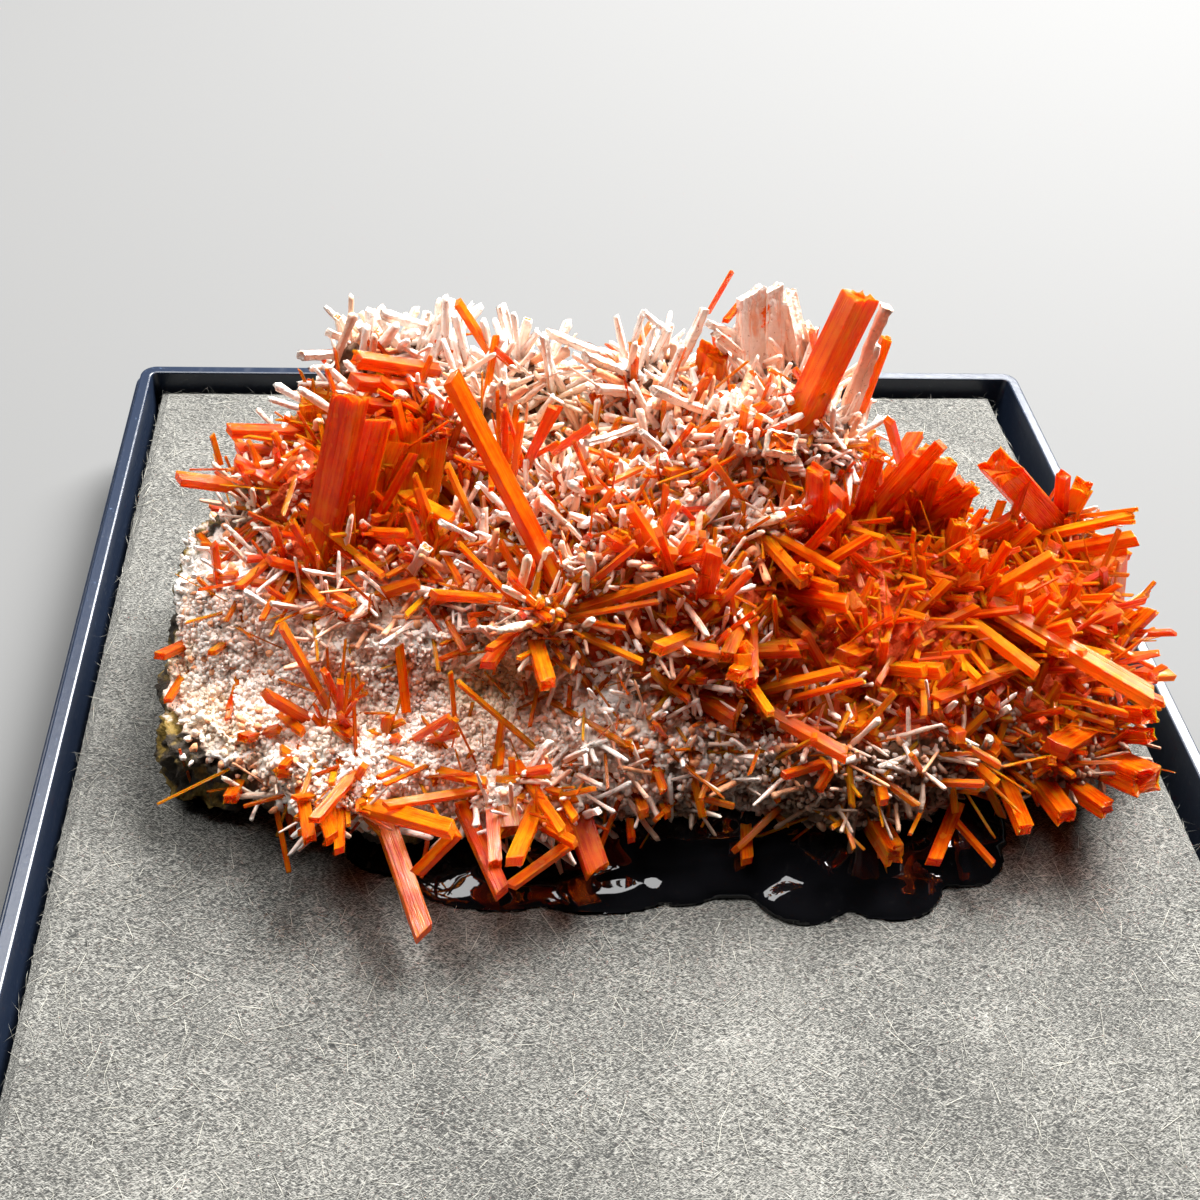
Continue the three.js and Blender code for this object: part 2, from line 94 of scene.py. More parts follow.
class MeshStore:
    """Collects the points, faces and painted values of one piece before its mesh is made."""

    def __init__(self) -> None:
        """Starts with nothing in store."""
        self.points: list[np.ndarray] = []
        self.faces: list[tuple[int, ...]] = []
        self.corners: list[tuple[float, float]] = []
        self.paint: dict[str, list[np.ndarray]] = {}
        self.count = 0

    def add_tube(
        self,
        rings: np.ndarray,
        along: np.ndarray,
        around: np.ndarray,
        paint: dict[str, np.ndarray],
    ) -> None:
        """Adds a closed tube through rings of points, with a flat face at each end.

        Args:
            rings: Points in order round each ring, as (rings, points, 3), in millimetres.
            along: Distance of each ring along the tube, for the pattern's second axis.
            around: Distance round the ring of each point and of the first one again.
            paint: Values by name, one for each point of each ring, as (rings, points).
        """
        count, sides = rings.shape[:2]
        start = self.count
        self.points.append(rings.reshape(-1, 3))
        for name, values in paint.items():
            self.paint.setdefault(name, []).append(np.broadcast_to(values, (count, sides)).reshape(-1))
        for i in range(count - 1):
            for j in range(sides):
                k = (j + 1) % sides
                low = start + i * sides
                self.faces.append((low + j, low + k, low + sides + k, low + sides + j))
                self.corners += [
                    (around[j], along[i]),
                    (around[j + 1], along[i]),
                    (around[j + 1], along[i + 1]),
                    (around[j], along[i + 1]),
                ]
        self.faces.append(tuple(start + j for j in reversed(range(sides))))
        self.corners += [(around[j], along[0]) for j in reversed(range(sides))]
        last = start + (count - 1) * sides
        self.faces.append(tuple(last + j for j in range(sides)))
        self.corners += [(around[j], along[-1]) for j in range(sides)]
        self.count += count * sides

    def to_object(self, name: str, smooth: bool = False) -> bpy.types.Object:
        """Makes the mesh and links it to the scene.

        Args:
            name: The piece's name.
            smooth: Whether its faces are shaded smooth.

        Returns:
            The new object, at the origin, with its place in its mesh.
        """
        mesh = bpy.data.meshes.new(name)
        points = np.concatenate(self.points) * MM
        mesh.from_pydata(points.tolist(), [], self.faces)
        layer = mesh.uv_layers.new(name="UVMap")
        layer.data.foreach_set("uv", np.array(self.corners, np.float32).reshape(-1))
        for title, parts in self.paint.items():
            attribute = mesh.attributes.new(title, "FLOAT", "POINT")
            attribute.data.foreach_set("value", np.concatenate(parts).astype(np.float32))
        mesh.polygons.foreach_set("use_smooth", [smooth] * len(mesh.polygons))
        mesh.update()
        return linked(name, mesh)


def linked(name: str, mesh: bpy.types.Mesh) -> bpy.types.Object:
    """Makes an object of a mesh and links it to the scene.

    Args:
        name: The object's name.
        mesh: Its mesh.

    Returns:
        The new object.
    """
    made = bpy.data.objects.new(name, mesh)
    bpy.context.scene.collection.objects.link(made)
    return made


def from_shape(name: str, shape: bmesh.types.BMesh) -> bpy.types.Object:
    """Makes an object of a finished shape, links it to the scene and frees the shape.

    Args:
        name: The object's name.
        shape: The finished shape, in metres.

    Returns:
        The new object.
    """
    mesh = bpy.data.meshes.new(name)
    shape.to_mesh(mesh)
    shape.free()
    return linked(name, mesh)


def bridge(shape: bmesh.types.BMesh, low: list, high: list, closed: bool = True) -> None:
    """Joins two rows of points with a strip of faces.

    Args:
        shape: The shape that the points are in.
        low: The first row, which runs to the right where the second one lies above it, seen from outside.
        high: The second row, with as many points as the first.
        closed: Whether the rows are rings.
    """
    for i in range(len(low) - (not closed)):
        j = (i + 1) % len(low)
        shape.faces.new((low[i], low[j], high[j], high[i]))


def add_balls(shape: bmesh.types.BMesh, balls: Sequence[tuple[Point, Point]]) -> None:
    """Adds stretched balls to a shape.

    Args:
        shape: The shape that the balls go into.
        balls: The centre and the radii of each ball, in millimetres.
    """
    for centre, radii in balls:
        place = Matrix.Translation(Vector(centre) * MM) @ Matrix.Diagonal((*(Vector(radii) * MM), 1.0))
        bmesh.ops.create_icosphere(shape, subdivisions=BALL_DETAIL, radius=1.0, matrix=place)


def one_skin(name: str, shape: bmesh.types.BMesh, grid: float, smoothing: int = 0) -> bpy.types.Object:
    """Melts the overlapping balls of a shape into one closed skin.

    Args:
        name: The new object's name.
        shape: The balls.
        grid: Width of the skin's faces, in millimetres.
        smoothing: Number of times that the skin is smoothed.

    Returns:
        The new object, a plain mesh shaded smooth.
    """
    rough = from_shape(name + "_balls", shape)
    remesh = rough.modifiers.new("skin", "REMESH")
    remesh.mode = "VOXEL"
    remesh.voxel_size = grid * MM
    if smoothing:
        smooth = rough.modifiers.new("smooth", "SMOOTH")
        smooth.iterations = smoothing
    skin = as_plain_mesh(rough, name)
    skin.data.polygons.foreach_set("use_smooth", [True] * len(skin.data.polygons))
    return skin


def turned_along(axis: np.ndarray) -> np.ndarray:
    """Finds the turn that lays a shape's length along an axis and keeps its width level.

    Args:
        axis: The unit direction of the length.

    Returns:
        A 3 x 3 matrix whose columns are the width, the thickness and the length.
    """
    across = np.cross((0.0, 0.0, 1.0), axis)
    if np.linalg.norm(across) < LEAST_SLANT:
        across = np.array((1.0, 0.0, 0.0))
    upward = np.cross(axis, across)
    upward /= np.linalg.norm(upward)
    across = np.cross(upward, axis)
    return np.stack([across, upward, axis], axis=1)


def as_plain_mesh(source: bpy.types.Object, name: str) -> bpy.types.Object:
    """Turns an object with its modifiers into a new object with a plain mesh, and deletes the old one.

    Args:
        source: The object with live modifiers.
        name: The new object's name.

    Returns:
        The new object, linked to the scene.
    """
    bpy.context.view_layer.update()
    evaluated = source.evaluated_get(bpy.context.evaluated_depsgraph_get())
    mesh = bpy.data.meshes.new_from_object(evaluated)
    mesh.name = name
    made = linked(name, mesh)
    bpy.data.objects.remove(source)
    made.name = name
    return made


def read_points(mesh: bpy.types.Mesh) -> np.ndarray:
    """Reads a mesh's points in millimetres.

    Args:
        mesh: The mesh.

    Returns:
        The points as (points, 3).
    """
    points = np.empty(len(mesh.vertices) * 3)
    mesh.vertices.foreach_get("co", points)
    return points.reshape(-1, 3) / MM


def write_points(mesh: bpy.types.Mesh, points: np.ndarray) -> None:
    """Sets a mesh's points from millimetres."""
    mesh.vertices.foreach_set("co", (points * MM).reshape(-1))
    mesh.update()


def read_normals(mesh: bpy.types.Mesh) -> np.ndarray:
    """Reads a mesh's normals at its points.

    Args:
        mesh: The mesh.

    Returns:
        The normals as (points, 3).
    """
    normals = np.empty(len(mesh.vertices) * 3, np.float32)
    mesh.vertex_normals.foreach_get("vector", normals)
    return normals.reshape(-1, 3).astype(float)


def paint_points(mesh: bpy.types.Mesh, name: str, values: np.ndarray) -> None:
    """Stores one value for each point of a mesh, under a name that materials and node trees read."""
    attribute = mesh.attributes.get(name) or mesh.attributes.new(name, "FLOAT", "POINT")
    attribute.data.foreach_set("value", values.astype(np.float32))


def rough_noise(points: np.ndarray, size: float, shift: float = 0.0) -> np.ndarray:
    """Samples a smooth noise at points.

    Args:
        points: Points as (points, 3), in millimetres.
        size: Width of the noise's lumps, in millimetres.
        shift: Moves the pattern, so that two uses of it differ.

    Returns:
        Values from about -1 to 1, one for each point.
    """
    moved = points / size + shift
    return np.array([noise.noise(Vector(p)) for p in moved])


@dataclass(frozen=True)
class Patch:
    """A soft ellipsoid in which a value is raised, or lowered where it is negative."""

    centre: Point
    radii: Point
    amount: float
    rim = 1.35
    fade = 0.6

    def at(self, points: np.ndarray) -> np.ndarray:
        """Returns the amount at each point: full in the middle, fading out past the radii."""
        reach = np.linalg.norm((points - self.centre) / self.radii, axis=1)
        return self.amount * np.clip((self.rim - reach) / self.fade, 0.0, 1.0)


# ---------------------------------------------------------------- node trees


class Sheet:
    """Short-hand for placing and linking the nodes of one tree."""

    def __init__(self, tree: bpy.types.NodeTree) -> None:
        """Keeps the tree that the nodes go into."""
        self.tree = tree

    def add(self, kind: str, settings: dict[str, object] | None = None, **values: object) -> bpy.types.Node:
        """Places a node.

        Args:
            kind: The node's type.
            settings: Properties of the node by name.
            **values: Inputs by name, with _ for a space: a socket to link from, or a value to set.

        Returns:
            The node.
        """
        node = self.tree.nodes.new(kind)
        for name, value in (settings or {}).items():
            setattr(node, name, value)
        for name, value in values.items():
            self.feed(node.inputs[name.replace("_", " ")], value)
        return node

    def feed(self, socket: Socket, value: object) -> None:
        """Links a socket to an input, or sets the input's value.

        Args:
            socket: The input.
            value: A socket to link from, or a value to set. A colour may leave out its alpha.
        """
        if isinstance(value, bpy.types.NodeSocket):
            self.tree.links.new(value, socket)
        elif socket.type == "RGBA":
            socket.default_value = (*value[:3], 1.0)
        else:
            socket.default_value = value

    def maths(self, operation: str, *values: object, clamp: bool = False) -> Socket:
        """Places a Math node.

        Args:
            operation: The node's operation.
            *values: Its inputs in order.
            clamp: Whether the result stays between 0 and 1.

        Returns:
            The result.
        """
        node = self.add("ShaderNodeMath", {"operation": operation, "use_clamp": clamp})
        for socket, value in zip(node.inputs, values):
            self.feed(socket, value)
        return node.outputs[0]

    def mix(self, share: object, first: object, second: object) -> Socket:
        """Places a Mix node for colours.

        Args:
            share: The second colour's share.
            first: The first colour.
            second: The second colour.

        Returns:
            The mixed colour.
        """
        node = self.add("ShaderNodeMix", {"data_type": "RGBA"})
        for socket, value in zip((node.inputs[0], node.inputs[6], node.inputs[7]), (share, first, second)):
            self.feed(socket, value)
        return node.outputs[2]

    def span(self, value: object, low: float, high: float, start: float = 0.0, end: float = 1.0) -> Socket:
        """Places a smooth, clamped Map Range node.

        Args:
            value: The value to map.
            low: The value that gives the start.
            high: The value that gives the end.
            start: The result at and before the low value.
            end: The result at and past the high value.

        Returns:
            The mapped value.
        """
        node = self.add("ShaderNodeMapRange", {"interpolation_type": "SMOOTHSTEP"}, Value=value)
        for socket, number in zip(list(node.inputs)[1:5], (low, high, start, end)):
            socket.default_value = number
        return node.outputs[0]

    def ramp(self, value: object, stops: Sequence[tuple[float, Point]]) -> Socket:
        """Places a colour ramp.

        Args:
            value: Where on the ramp the colour is read.
            stops: Position and colour of each stop.

        Returns:
            The ramp's colour.
        """
        node = self.add("ShaderNodeValToRGB", None, Fac=value)
        elements = node.color_ramp.elements
        while len(elements) < len(stops):
            elements.new(0.5)
        for element, (position, colour) in zip(elements, stops):
            element.position = position
            element.color = (*colour, 1.0)
        return node.outputs[0]

    def grain(self, vector: Socket, scale: object, detail: float = 3.0, rough: float = 0.55) -> Socket:
        """Places a noise texture and returns its value."""
        values = {"Vector": vector, "Scale": scale, "Detail": detail, "Roughness": rough}
        return self.add("ShaderNodeTexNoise", None, **values).outputs["Fac"]

    def stirred(self, value: Socket, pattern: Socket, share: float) -> Socket:
        """Adds a share of a pattern, taken about its middle, to a value."""
        return self.maths("ADD", value, self.maths("MULTIPLY", self.maths("SUBTRACT", pattern, 0.5), share))

    def stretched(self, vector: Socket, scale: Point, turn: float = 0.0) -> Socket:
        """Turns a pattern about Z, then scales it along its own axes, and returns its vector."""
        turned = self.add("ShaderNodeMapping", None, Vector=vector, Rotation=(0.0, 0.0, turn)).outputs[0]
        return self.add("ShaderNodeMapping", None, Vector=turned, Scale=scale).outputs[0]

    def painted(self, name: str) -> Socket:
        """Returns the value that the mesh carries under a name."""
        return self.add("ShaderNodeAttribute", {"attribute_name": name}).outputs["Fac"]

    def place(self, kind: str = "Object") -> Socket:
        """Returns the object coordinates, or the UV map's."""
        return self.add("ShaderNodeTexCoord").outputs[kind]


def open_group(
    name: str, inputs: dict[str, float | None], outputs: Sequence[str]
) -> tuple[bpy.types.NodeTree, Sheet, bpy.types.NodeOutputs, bpy.types.NodeInputs]:
    """Makes an empty shader node group with named sockets.

    Args:
        name: The group's name.
        inputs: Default value by name, where None makes a vector.
        outputs: Names of the outputs.

    Returns:
        The group's tree, its sheet, what it is given and what it puts out.
    """
    tree = bpy.data.node_groups.new(name, "ShaderNodeTree")
    for title, default in inputs.items():
        kind = "NodeSocketVector" if default is None else "NodeSocketFloat"
        socket = tree.interface.new_socket(title, in_out="INPUT", socket_type=kind)
        if default is not None:
            socket.default_value = default
    for title in outputs:
        tree.interface.new_socket(title, in_out="OUTPUT", socket_type="NodeSocketFloat")
    given = tree.nodes.new("NodeGroupInput").outputs
    return tree, Sheet(tree), given, tree.nodes.new("NodeGroupOutput").inputs


class SharedEffects:
    """The shader node groups that more than one finish uses, each built once."""

    def __init__(self) -> None:
        """Builds the groups."""
        self.speckle = self._speckle()
        self.wear = self._wear()

    @staticmethod
    def _speckle() -> bpy.types.NodeTree:
        """Builds the group for a sugary crust: coarse patches, fine pits and a height; the crusts darken
        their pits as painted shade, and the tray marks its dust specks there.

        Returns:
            The group's tree.
        """
        inputs = {"Vector": None, "Coarse": 200.0, "Fine": 2500.0}
        tree, sheet, given, out = open_group("sugary_grain", inputs, ("Patches", "Pits", "Height"))
        coarse = sheet.grain(given["Vector"], given["Coarse"], 3.0, 0.5)
        fine = sheet.grain(given["Vector"], given["Fine"], 2.0, 0.7)
        cells = sheet.add("ShaderNodeTexVoronoi", None, Vector=given["Vector"])
        sheet.feed(cells.inputs["Scale"], sheet.maths("MULTIPLY", given["Fine"], 0.6))
        sheet.feed(out["Patches"], sheet.span(coarse, 0.35, 0.65))
        # Pits: where the fine noise dips, as the height does, so the crusts can paint shade there.
        sheet.feed(out["Pits"], sheet.span(fine, 0.36, 0.3))
        hollows = sheet.maths("MULTIPLY", cells.outputs[0], 0.6)
        sheet.feed(out["Height"], sheet.maths("SUBTRACT", fine, hollows))
        return tree

    @staticmethod
    def _wear() -> bpy.types.NodeTree:
        """Builds the group for worn edges: a mask where a painted edge meets a broken noise.

        Returns:
            The group's tree.
        """
        inputs = {"Vector": None, "Edge": 0.0, "Scale": 300.0, "Amount": 0.5}
        tree, sheet, given, out = open_group("worn_edge", inputs, ("Mask",))
        broken = sheet.grain(given["Vector"], given["Scale"], 3.0, 0.7)
        limit = sheet.maths("SUBTRACT", 0.75, sheet.maths("MULTIPLY", given["Amount"], 0.4))
        over = sheet.maths("MULTIPLY", sheet.maths("SUBTRACT", broken, limit), 12.0, clamp=True)
        sheet.feed(out["Mask"], sheet.maths("MULTIPLY", over, given["Edge"]))
        return tree


class Finish:
    """The base of the finishes: a material with its sheet, its shader and short-hand for its groups."""

    name = "plain"

    def __init__(self, shared: SharedEffects) -> None:
        """Makes the material with its shader and output, and wires its look.

        Args:
            shared: The groups that the finishes have in common.
        """
        self.shared = shared
        self.material = bpy.data.materials.new(self.name)
        self.material.use_nodes = True
        tree = self.material.node_tree
        tree.nodes.clear()
        self.sheet = Sheet(tree)
        self.shader = self.sheet.add("ShaderNodeBsdfPrincipled")
        self.sheet.add("ShaderNodeOutputMaterial", None, Surface=self.shader.outputs[0])
        self.dress()

    def dress(self) -> None:
        """Wires the look; each finish has its own."""

    def set(self, **values: object) -> None:
        """Feeds the shader's inputs by name, with _ for a space."""
        for name, value in values.items():
            self.sheet.feed(self.shader.inputs[name.replace("_", " ")], value)

    def group(self, tree: bpy.types.NodeTree, **values: object) -> bpy.types.Node:
        """Places a shared group and feeds its inputs by name.

        Args:
            tree: The group's tree.
            **values: Its inputs by name: sockets to link from, or values to set.

        Returns:
            The group's node.
        """
        node = self.sheet.add("ShaderNodeGroup", {"node_tree": tree})
        for name, value in values.items():
            self.sheet.feed(node.inputs[name], value)
        return node

    def bump(self, height: object, distance: float, strength: float = 1.0) -> None:
        """Raises the surface by a height, with the distance in millimetres."""
        values = {"Height": height, "Distance": distance * MM, "Strength": strength}
        self.set(Normal=self.sheet.add("ShaderNodeBump", None, **values).outputs[0])


class CrocoiteFinish(Finish):
    """Glassy orange-red crystal, golden where it is thin and red where it is thick; its tips carry a painted
    golden glint.
    """

    name = "crocoite"
    golden: Point = (1.0, 0.36, 0.008)
    orange: Point = (1.0, 0.25, 0.004)
    red: Point = (1.0, 0.135, 0.002)
    deep: Point = (0.74, 0.052, 0.001)
    nick: Point = (1.0, 0.4, 0.03)
    crust: Point = (0.86, 0.62, 0.46)
    clearness = 0.6
    refraction = 1.38
    glow = 0.7
    glow_reach: Point = (1.0, 0.25, 0.03)

    def dress(self) -> None:
        """Wires lengthwise streaks, flaws and nicked edges into a clear body that glows from inside, with
        painted shade along the edges.
        """
        sheet = self.sheet
        uv = sheet.place("UV")
        streaks = sheet.grain(sheet.stretched(uv, (2.6, 0.12, 1.0)), 1.0, 2.0, 0.6)
        fine = sheet.grain(sheet.stretched(uv, (12.0, 0.35, 1.0)), 1.0, 2.0, 0.6)
        flaws = sheet.grain(sheet.stretched(uv, (0.9, 0.8, 1.0)), 1.0, 2.0, 0.65)
        # Painted shade: the tone is pushed toward deep red along the crystal's edges.
        tone = sheet.maths("ADD", sheet.painted("tint"), sheet.maths("MULTIPLY", sheet.painted("edge"), 0.12))
        for pattern, share in ((streaks, 2.1), (fine, 1.2), (flaws, 1.1)):
            tone = sheet.stirred(tone, pattern, share)
        body = sheet.ramp(tone, [(0.0, self.golden), (0.3, self.orange), (0.66, self.red), (1.0, self.deep)])
        worn = self.group(
            self.shared.wear, Vector=sheet.place(), Edge=sheet.painted("edge"), Scale=900.0, Amount=0.55
        )
        nicked = sheet.maths("MAXIMUM", worn.outputs[0], sheet.span(flaws, 0.64, 0.7))
        body = sheet.mix(sheet.maths("MULTIPLY", nicked, 0.4), body, self.nick)
        body = sheet.mix(sheet.span(fine, 0.42, 0.34, 0.0, 0.65), body, self.deep)
        crusted = sheet.span(sheet.maths("ADD", flaws, sheet.painted("coat")), 0.95, 1.1)
        self.set(
            Base_Color=sheet.mix(crusted, body, self.crust),
            Roughness=sheet.maths(
                "ADD", sheet.span(fine, 0.3, 0.7, 0.03, 0.16), sheet.maths("MULTIPLY", crusted, 0.4)
            ),
            Specular_IOR_Level=0.12,
            Transmission_Weight=self.clearness,
            IOR=self.refraction,
            Subsurface_Weight=self.glow,
            Subsurface_Radius=self.glow_reach,
            Subsurface_Scale=MM,
        )
        self.bump(sheet.maths("ADD", fine, streaks), 0.1, 0.9)


class CoatedFinish(Finish):
    """Chalky white to pink crust on crystals, with the orange showing where it is bare."""

    name = "coated_crystal"
    white: Point = (0.93, 0.89, 0.83)
    pink: Point = (0.83, 0.60, 0.47)
    cream: Point = (0.88, 0.76, 0.52)
    rosy: Point = (0.85, 0.36, 0.16)
    bare: Point = (0.88, 0.13, 0.004)
    # Painted shade: the crust turns to this colour low down and towards the right front, where the specimen's
    # front lies in shade.
    shade: Point = (0.24, 0.135, 0.08)
    # Painted shade in the crust's pits.
    pit_shade: Point = (0.40, 0.20, 0.11)

    def dress(self) -> None:
        """Wires white crust with pink and rosy patches, painted shade low down towards the right front and in
        the pits, over an orange core.
        """
        sheet = self.sheet
        where = sheet.place()
        grain = self.group(self.shared.speckle, Vector=where, Coarse=170.0, Fine=3200.0)
        parts = sheet.add("ShaderNodeSeparateXYZ", None, Vector=where)
        across = sheet.maths("MULTIPLY", parts.outputs["X"], 0.16)
        pinker = sheet.span(sheet.painted("tint"), 0.1, 0.5, 0.15, 1.0)
        patches = sheet.maths("MULTIPLY", grain.outputs["Patches"], pinker)
        crust = sheet.mix(patches, self.white, self.pink)
        creamy = sheet.grain(where, 90.0, 2.0)
        crust = sheet.mix(sheet.span(creamy, 0.5, 0.7), crust, self.cream)
        crust = sheet.mix(sheet.span(sheet.painted("tint"), 0.3, 0.8, 0.0, 0.8), crust, self.pink)
        crust = sheet.mix(sheet.span(sheet.painted("tint"), 0.7, 0.95), crust, self.rosy)
        uv = sheet.place("UV")
        streaks = sheet.grain(sheet.stretched(uv, (3.0, 0.3, 1.0)), 1.0, 3.0, 0.6)
        crust = sheet.mix(sheet.span(streaks, 0.5, 0.64, 0.0, 0.75), crust, self.rosy)
        # Painted shade: darker where the height less a share of X is low, that is low down and towards the
        # right.
        low = sheet.span(sheet.maths("SUBTRACT", parts.outputs["Z"], across), 0.0138, 0.0108, 0.0, 0.85)
        crust = sheet.mix(low, crust, self.shade)
        # Painted shade in the pits of the crust.
        crust = sheet.mix(sheet.maths("MULTIPLY", grain.outputs["Pits"], 0.7), crust, self.pit_shade)
        spotty = sheet.maths("ADD", sheet.painted("bare"), sheet.grain(where, 1100.0, 3.0, 0.6))
        open_core = sheet.span(spotty, 0.98, 1.08)
        self.set(
            Base_Color=sheet.mix(open_core, crust, self.bare),
            Roughness=sheet.span(open_core, 0.0, 1.0, 0.6, 0.2),
            IOR=1.5,
        )
        self.bump(grain.outputs["Height"], 0.12, 0.9)


class GossanFinish(Finish):
    """The stone: a sugary pale crust over dark brown gossan, rusty yellow at its bare edges."""

    name = "gossan"
    # A very pale crust, partly its own white and partly painted light for the lit top of the ledge.
    crust: Point = (0.92, 0.89, 0.84)
    rosy: Point = (0.74, 0.55, 0.42)
    brown: Point = (0.030, 0.020, 0.011)
    rust: Point = (0.24, 0.15, 0.022)
    # Dark reddish-brown stone where the crystals stand thick, partly its own colour and partly painted shade
    # between the crystals.
    shaded_gap_stone: Point = (0.13, 0.058, 0.026)
    # A deep orange druse, darkened partly as painted shade among the crystals.
    druse: Point = (0.60, 0.072, 0.003)

    def dress(self) -> None:
        """Wires rusty stone, the pale sugary crust over it and the orange druse between, with painted shade
        darkening the stone and druse among the crystals.
        """
        sheet = self.sheet
        where = sheet.place()
        grain = self.group(self.shared.speckle, Vector=where, Coarse=260.0, Fine=2200.0)
        rusty = sheet.span(sheet.grain(where, 420.0, 4.0), 0.48, 0.62)
        stone = sheet.mix(rusty, self.brown, self.rust)
        stone = sheet.mix(sheet.span(sheet.painted("orange"), 0.05, 0.2), stone, self.shaded_gap_stone)
        pale = sheet.mix(grain.outputs["Patches"], self.crust, self.rosy)
        # The pits show the brown stone between the grains, partly its own colour and partly painted shade.
        pale = sheet.mix(sheet.maths("MULTIPLY", grain.outputs["Pits"], 0.85), pale, self.brown)
        broken = sheet.maths("SUBTRACT", sheet.grain(where, 700.0, 5.0), 0.5)
        covered = sheet.maths("ADD", sheet.painted("crust"), broken)
        stone = sheet.mix(sheet.span(covered, 0.42, 0.58), stone, pale)
        druse = sheet.maths("ADD", sheet.painted("orange"), sheet.grain(where, 900.0, 3.0))
        self.set(
            Base_Color=sheet.mix(sheet.span(druse, 0.95, 1.15), stone, self.druse),
            Roughness=sheet.span(rusty, 0.0, 1.0, 0.85, 0.7),
        )
        self.bump(grain.outputs["Height"], 0.25, 0.9)


class FeltFinish(Finish):
    """Grey felt: a mat of fine fibres that lie in every direction."""

    name = "lining_felt"
    dark: Point = (0.022, 0.022, 0.020)
    light: Point = (0.30, 0.292, 0.262)

    def dress(self) -> None:
        """Wires layers of stretched noise in three directions."""
        sheet = self.sheet
        where = sheet.place()
        layers = [
            sheet.grain(sheet.stretched(where, (3600.0, 19000.0, 19000.0), turn), 1.0, 2.0, 0.6)
            for turn in (0.1, 0.6, -0.5)
        ]
        mat = sheet.maths("MAXIMUM", sheet.maths("MAXIMUM", layers[0], layers[1]), layers[2])
        patches = sheet.grain(where, 120.0, 2.0)
        tone = sheet.stirred(mat, patches, 0.1)
        self.set(Base_Color=sheet.ramp(tone, [(0.53, self.dark), (0.7, self.light)]), Roughness=0.95)


class FibreFinish(Finish):
    """The loose fibres on the felt, from dark grey to pale straw."""

    name = "felt_fibre"
    dark: Point = (0.15, 0.148, 0.13)
    pale: Point = (0.56, 0.54, 0.46)

    def dress(self) -> None:
        """Wires a tone of its own for each fibre."""
        sheet = self.sheet
        tone = sheet.span(sheet.painted("tint"), 0.0, 1.0)
        tone = sheet.maths("ADD", tone, sheet.maths("SUBTRACT", sheet.grain(sheet.place(), 150.0), 0.5))
        self.set(Base_Color=sheet.ramp(tone, [(0.1, self.dark), (0.95, self.pale)]), Roughness=0.5)


class AdhesiveFinish(Finish):
    """Black hot-melt adhesive: smooth, glossy and a little smoky."""

    name = "adhesive_black"
    colour: Point = (0.004, 0.004, 0.005)
    dust: Point = (0.02, 0.019, 0.018)

    def dress(self) -> None:
        """Wires a faint ripple and a little dust."""
        sheet = self.sheet
        ripple = sheet.grain(sheet.place(), 300.0, 1.0, 0.4)
        dusty = sheet.span(sheet.grain(sheet.place(), 1600.0, 3.0, 0.7), 0.6, 0.85)
        self.set(
            Base_Color=sheet.mix(dusty, self.colour, self.dust),
            Roughness=sheet.span(dusty, 0.0, 1.0, 0.03, 0.15),
            IOR=1.45,
        )
        self.bump(ripple, 0.08, 0.3)


class TrayFinish(Finish):
    """Dark blue-black moulded plastic with paler edges: partly nicks, partly a painted reflection of light
    along the rim.
    """

    name = "tray_plastic"
    colour: Point = (0.011, 0.018, 0.036)
    # Paler blue for the edges, partly wear and partly a painted reflection of the light on the rim.
    worn: Point = (0.085, 0.125, 0.21)
    dust: Point = (0.5, 0.5, 0.48)

    def dress(self) -> None:
        """Wires scuffs, dust and paler edges, partly worn and partly a painted reflection."""
        sheet = self.sheet
        where = sheet.place()
        edge = sheet.painted("edge")
        worn = self.group(self.shared.wear, Vector=where, Edge=edge, Scale=2400.0, Amount=0.25)
        dust = self.group(self.shared.speckle, Vector=where, Coarse=60.0, Fine=2600.0)
        scuffs = sheet.span(sheet.grain(sheet.stretched(where, (900.0, 90.0, 900.0)), 1.0, 4.0), 0.5, 0.75)
        colour = sheet.mix(worn.outputs[0], self.colour, self.worn)
        specks = sheet.maths("MULTIPLY", dust.outputs["Pits"], 0.04)
        self.set(
            Base_Color=sheet.mix(specks, colour, self.dust),
            Roughness=sheet.maths(
                "ADD", sheet.span(scuffs, 0.0, 1.0, 0.3, 0.42), sheet.maths("MULTIPLY", worn.outputs[0], 0.2)
            ),
            IOR=1.5,
        )
        self.bump(dust.outputs["Height"], 0.02, 0.5)


class PaperFinish(Finish):
    """The matt paper of the studio's floor."""

    name = "floor_paper"
    colour: Point = (0.13, 0.13, 0.128)

    def dress(self) -> None:
        """Sets its plain colour."""
        self.set(Base_Color=self.colour, Roughness=0.9)


# ---------------------------------------------------------------- crystals


@dataclass(frozen=True)
class Crystal:
    """One prism, with lengths in millimetres.

    Attributes:
        foot: Where its axis starts.
        tip: Where its axis ends.
        wide: Its width.
        tint: Its colour, from golden at 0 to deep red at 1.
        flat: Its thickness as a share of its width.
        end: How it ends.
        coat: How much crust its foot carries, from 0 to 1.
    """

    foot: Point
    tip: Point
    wide: float
    tint: float
    flat: float = 0.8
    end: End = End.OBLIQUE
    coat: float = 0.1

    def length(self) -> float:
        """Returns the distance from foot to tip."""
        return float(np.linalg.norm(np.subtract(self.tip, self.foot).astype(float)))

    def lay(self, rings: np.ndarray) -> np.ndarray:
        """Returns rings that were drawn upwards from the origin, laid on the crystal's axis."""
        run = np.subtract(self.tip, self.foot).astype(float)
        return rings @ turned_along(run / self.length()).T + np.array(self.foot, float)


